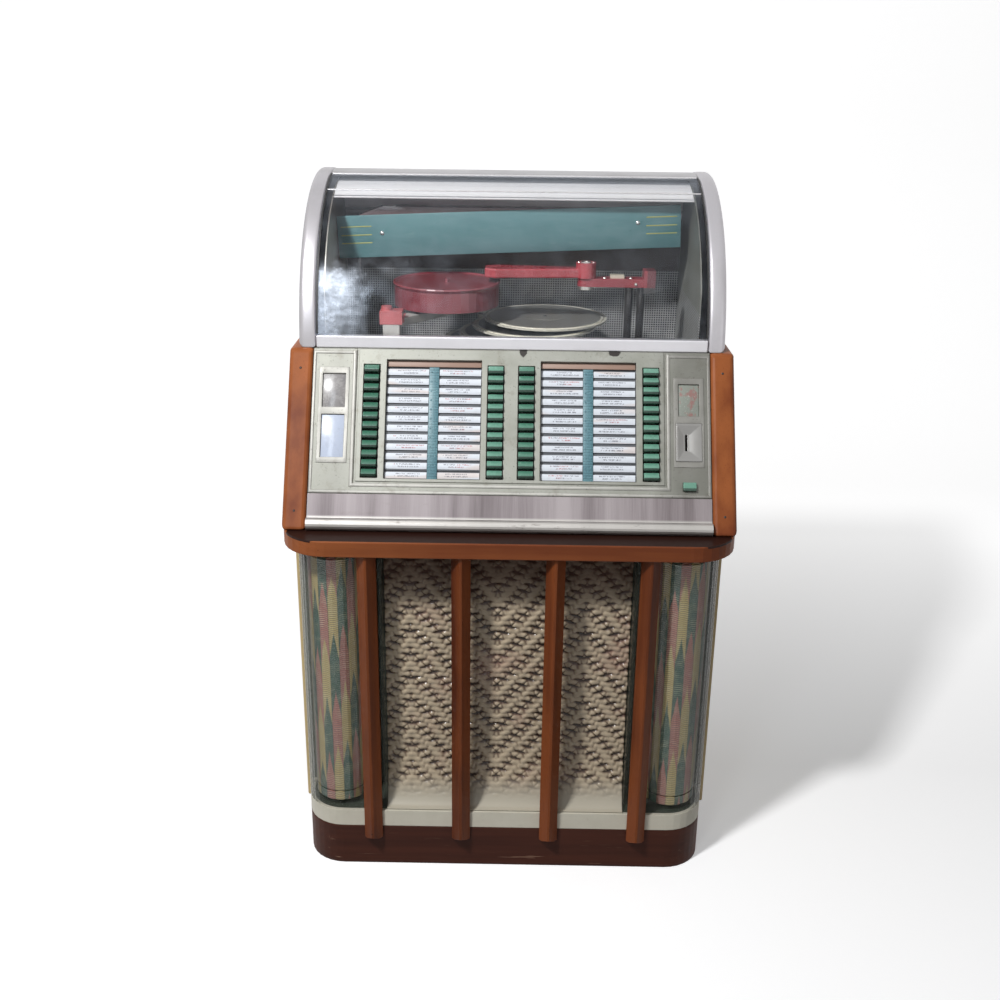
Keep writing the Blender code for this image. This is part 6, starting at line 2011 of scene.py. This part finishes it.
@dataclass
class LowerWorks:
    """Loudspeaker, amplifier and cash box inside the lower case."""

    def make(self) -> None:
        """Dresses the works."""
        dress(FibreBoard("speaker_paper", (0.060, 0.052, 0.045), (0.025, 0.022, 0.020)).material(), "speaker")
        dress(GlossEnamel("chassis_grey", (0.24, 0.24, 0.23), (0.12, 0.11, 0.10), 0.42).material(), "amplifier")
        dress(AgedPaint("cash_box_steel", (0.20, 0.21, 0.20), (0.12, 0.10, 0.08), 0.4).material(), "cash_box")


@dataclass(frozen=True)
class Lamp:
    """One soft lamp: where it stands, what it looks at, its width and height, its power and its colour."""

    name: str
    place: Point
    aim: Point
    size: Pair
    power: float
    colour: Colour = (1.0, 1.0, 1.0)


@dataclass
class Studio:
    """Pale floor and backdrop, soft lamps and the camera at the photograph's angle."""

    camera_place: Point = (0.0, -2.476, 1.655)
    tilt: float = 20.5
    pan: float = 0.48
    roll: float = 0.7
    lens: float = 43.2
    paper: Colour = (0.88, 0.88, 0.885)
    paper_bounce: Colour = (0.30, 0.29, 0.28)
    paper_glow: Pair = (0.34, 0.70)
    soft_world: float = 0.105
    lamps: tuple[Lamp, ...] = (
        Lamp("key_lamp", (-1.478, -1.961, 3.533), (0.0, 0.0, 0.9), (0.34, 0.34), 124.0),
        Lamp("window_lamp", (-1.05, -3.29, 3.02), (0.0, 0.0, 0.95), (0.6, 1.7), 13.0, (0.86, 0.93, 1.0)),
        Lamp("fill_lamp", (2.4, -2.4, 1.6), (0.0, 0.0, 0.8), (2.0, 2.0), 5.0),
    )

    def camera(self) -> None:
        """Places the camera."""
        data = bpy.data.cameras.new("camera")
        data.lens = self.lens
        data.sensor_width = 36.0
        item = add_object("camera", data)
        turn = Matrix.Rotation(math.radians(self.pan), 4, "Z") @ Matrix.Rotation(math.radians(90 - self.tilt), 4, "X")
        turn = turn @ Matrix.Rotation(math.radians(self.roll), 4, "Z")
        item.matrix_world = Matrix.Translation(self.camera_place) @ turn
        bpy.context.scene.camera = item

    def floor(self) -> None:
        """Lays the floor and its backdrop.

        The camera, mirrors and clear pieces see glowing paper with the object's shadow on it, brighter farther
        back. Other rays see a duller paper that doesn't glow, so that little light comes up from it.
        """

        def build(shape: Shape) -> None:
            """Fills the bmesh with the floor and a backdrop that curves up behind the object."""
            start, bend, radius, top = -4.0, 2.2, 1.4, 5.0
            half_width, drop = 6.0, 0.0005
            turns = np.linspace(0.15, math.pi / 2, 10)
            curve = [(bend + radius * math.sin(turn), radius - radius * math.cos(turn)) for turn in turns]
            line = [(start, 0.0), (bend, 0.0), *curve, (bend + radius, top)]
            left = [shape.verts.new((-half_width, y, z - drop)) for y, z in line]
            right = [shape.verts.new((half_width, y, z - drop)) for y, z in line]
            for index in range(len(line) - 1):
                shape.faces.new((left[index], right[index], right[index + 1], left[index + 1]))

        mesh = mesh_from("studio_floor", build)
        item = add_object("studio_floor", mesh)
        bench = Bench("studio_paper")
        rays = bench.node("ShaderNodeLightPath", output="Is Camera Ray")
        outputs = rays.socket.node.outputs
        seen = rays + Signal(bench, outputs["Is Glossy Ray"]) + Signal(bench, outputs["Is Transmission Ray"])
        seen = seen.clamped()
        _, depth, _ = bench.axes()
        near, far = ((value,) * 3 for value in self.paper_glow)
        glow = bench.mix(bench.level(depth, 0.1, 1.6), near, far)
        glow = bench.mix(seen, (0.0, 0.0, 0.0), glow)
        paper = bench.mix(seen, self.paper_bounce, self.paper)
        finish = bench.finish(
            Base_Color=paper, Roughness=0.9, Specular_IOR_Level=0.1, Emission_Color=glow, Emission_Strength=1.0
        )
        mesh.materials.append(finish)
        mesh.shade_smooth()

    def light(self) -> None:
        """Adds the lamps and the world's soft light, which is white where it is seen or mirrored."""
        for lamp in self.lamps:
            data = bpy.data.lights.new(lamp.name, "AREA")
            data.shape = "RECTANGLE"
            data.size, data.size_y = lamp.size
            data.energy = lamp.power
            data.color = lamp.colour
            item = add_object(lamp.name, data)
            item.location = lamp.place
            item.rotation_euler = (Vector(lamp.aim) - Vector(lamp.place)).to_track_quat("-Z", "Y").to_euler()
        world = bpy.data.worlds.new("studio_world")
        world.use_nodes = True
        bpy.context.scene.world = world
        tree = world.node_tree
        ground = tree.nodes["Background"]
        path = tree.nodes.new("ShaderNodeLightPath")
        seen = path.outputs["Is Camera Ray"]
        for kind in ("Is Glossy Ray", "Is Transmission Ray"):
            either = tree.nodes.new("ShaderNodeMath")
            either.operation = "MAXIMUM"
            tree.links.new(seen, either.inputs[0])
            tree.links.new(path.outputs[kind], either.inputs[1])
            seen = either.outputs[0]
        strength = tree.nodes.new("ShaderNodeMapRange")
        strength.inputs["To Min"].default_value = self.soft_world
        strength.inputs["To Max"].default_value = 1.0
        tree.links.new(seen, strength.inputs["Value"])
        tree.links.new(strength.outputs[0], ground.inputs["Strength"])
        ground.inputs["Color"].default_value = (1.0, 1.0, 1.0, 1.0)

    def make(self) -> None:
        """Sets the whole studio up."""
        bpy.context.scene.view_settings.view_transform = "Standard"
        self.camera()
        self.floor()
        self.light()


@dataclass
class Jukebox:
    """The whole object, in the order that its sub-assemblies are made."""

    assemblies: tuple[type, ...] = (Cabinet, Grille, Pilasters, Selector, Lid, Header, Mechanism, LowerWorks)

    def make(self) -> None:
        """Makes every sub-assembly."""
        for assembly in self.assemblies:
            LOG.info("making %s", assembly.__name__)
            assembly().make()


def note_size() -> None:
    def plain(box: Sequence[Sequence[float]]) -> list[list[float]]:
        """A box's two corners as plain lists."""
        return [[float(value) for value in corner] for corner in box]


def main() -> None:
    """Builds the studio and the jukebox."""
    logging.basicConfig(level=logging.INFO, format="%(name)s: %(message)s", stream=sys.stdout)
    Studio().make()
    Jukebox().make()
    note_size()


if __name__ == "__main__":
    main()
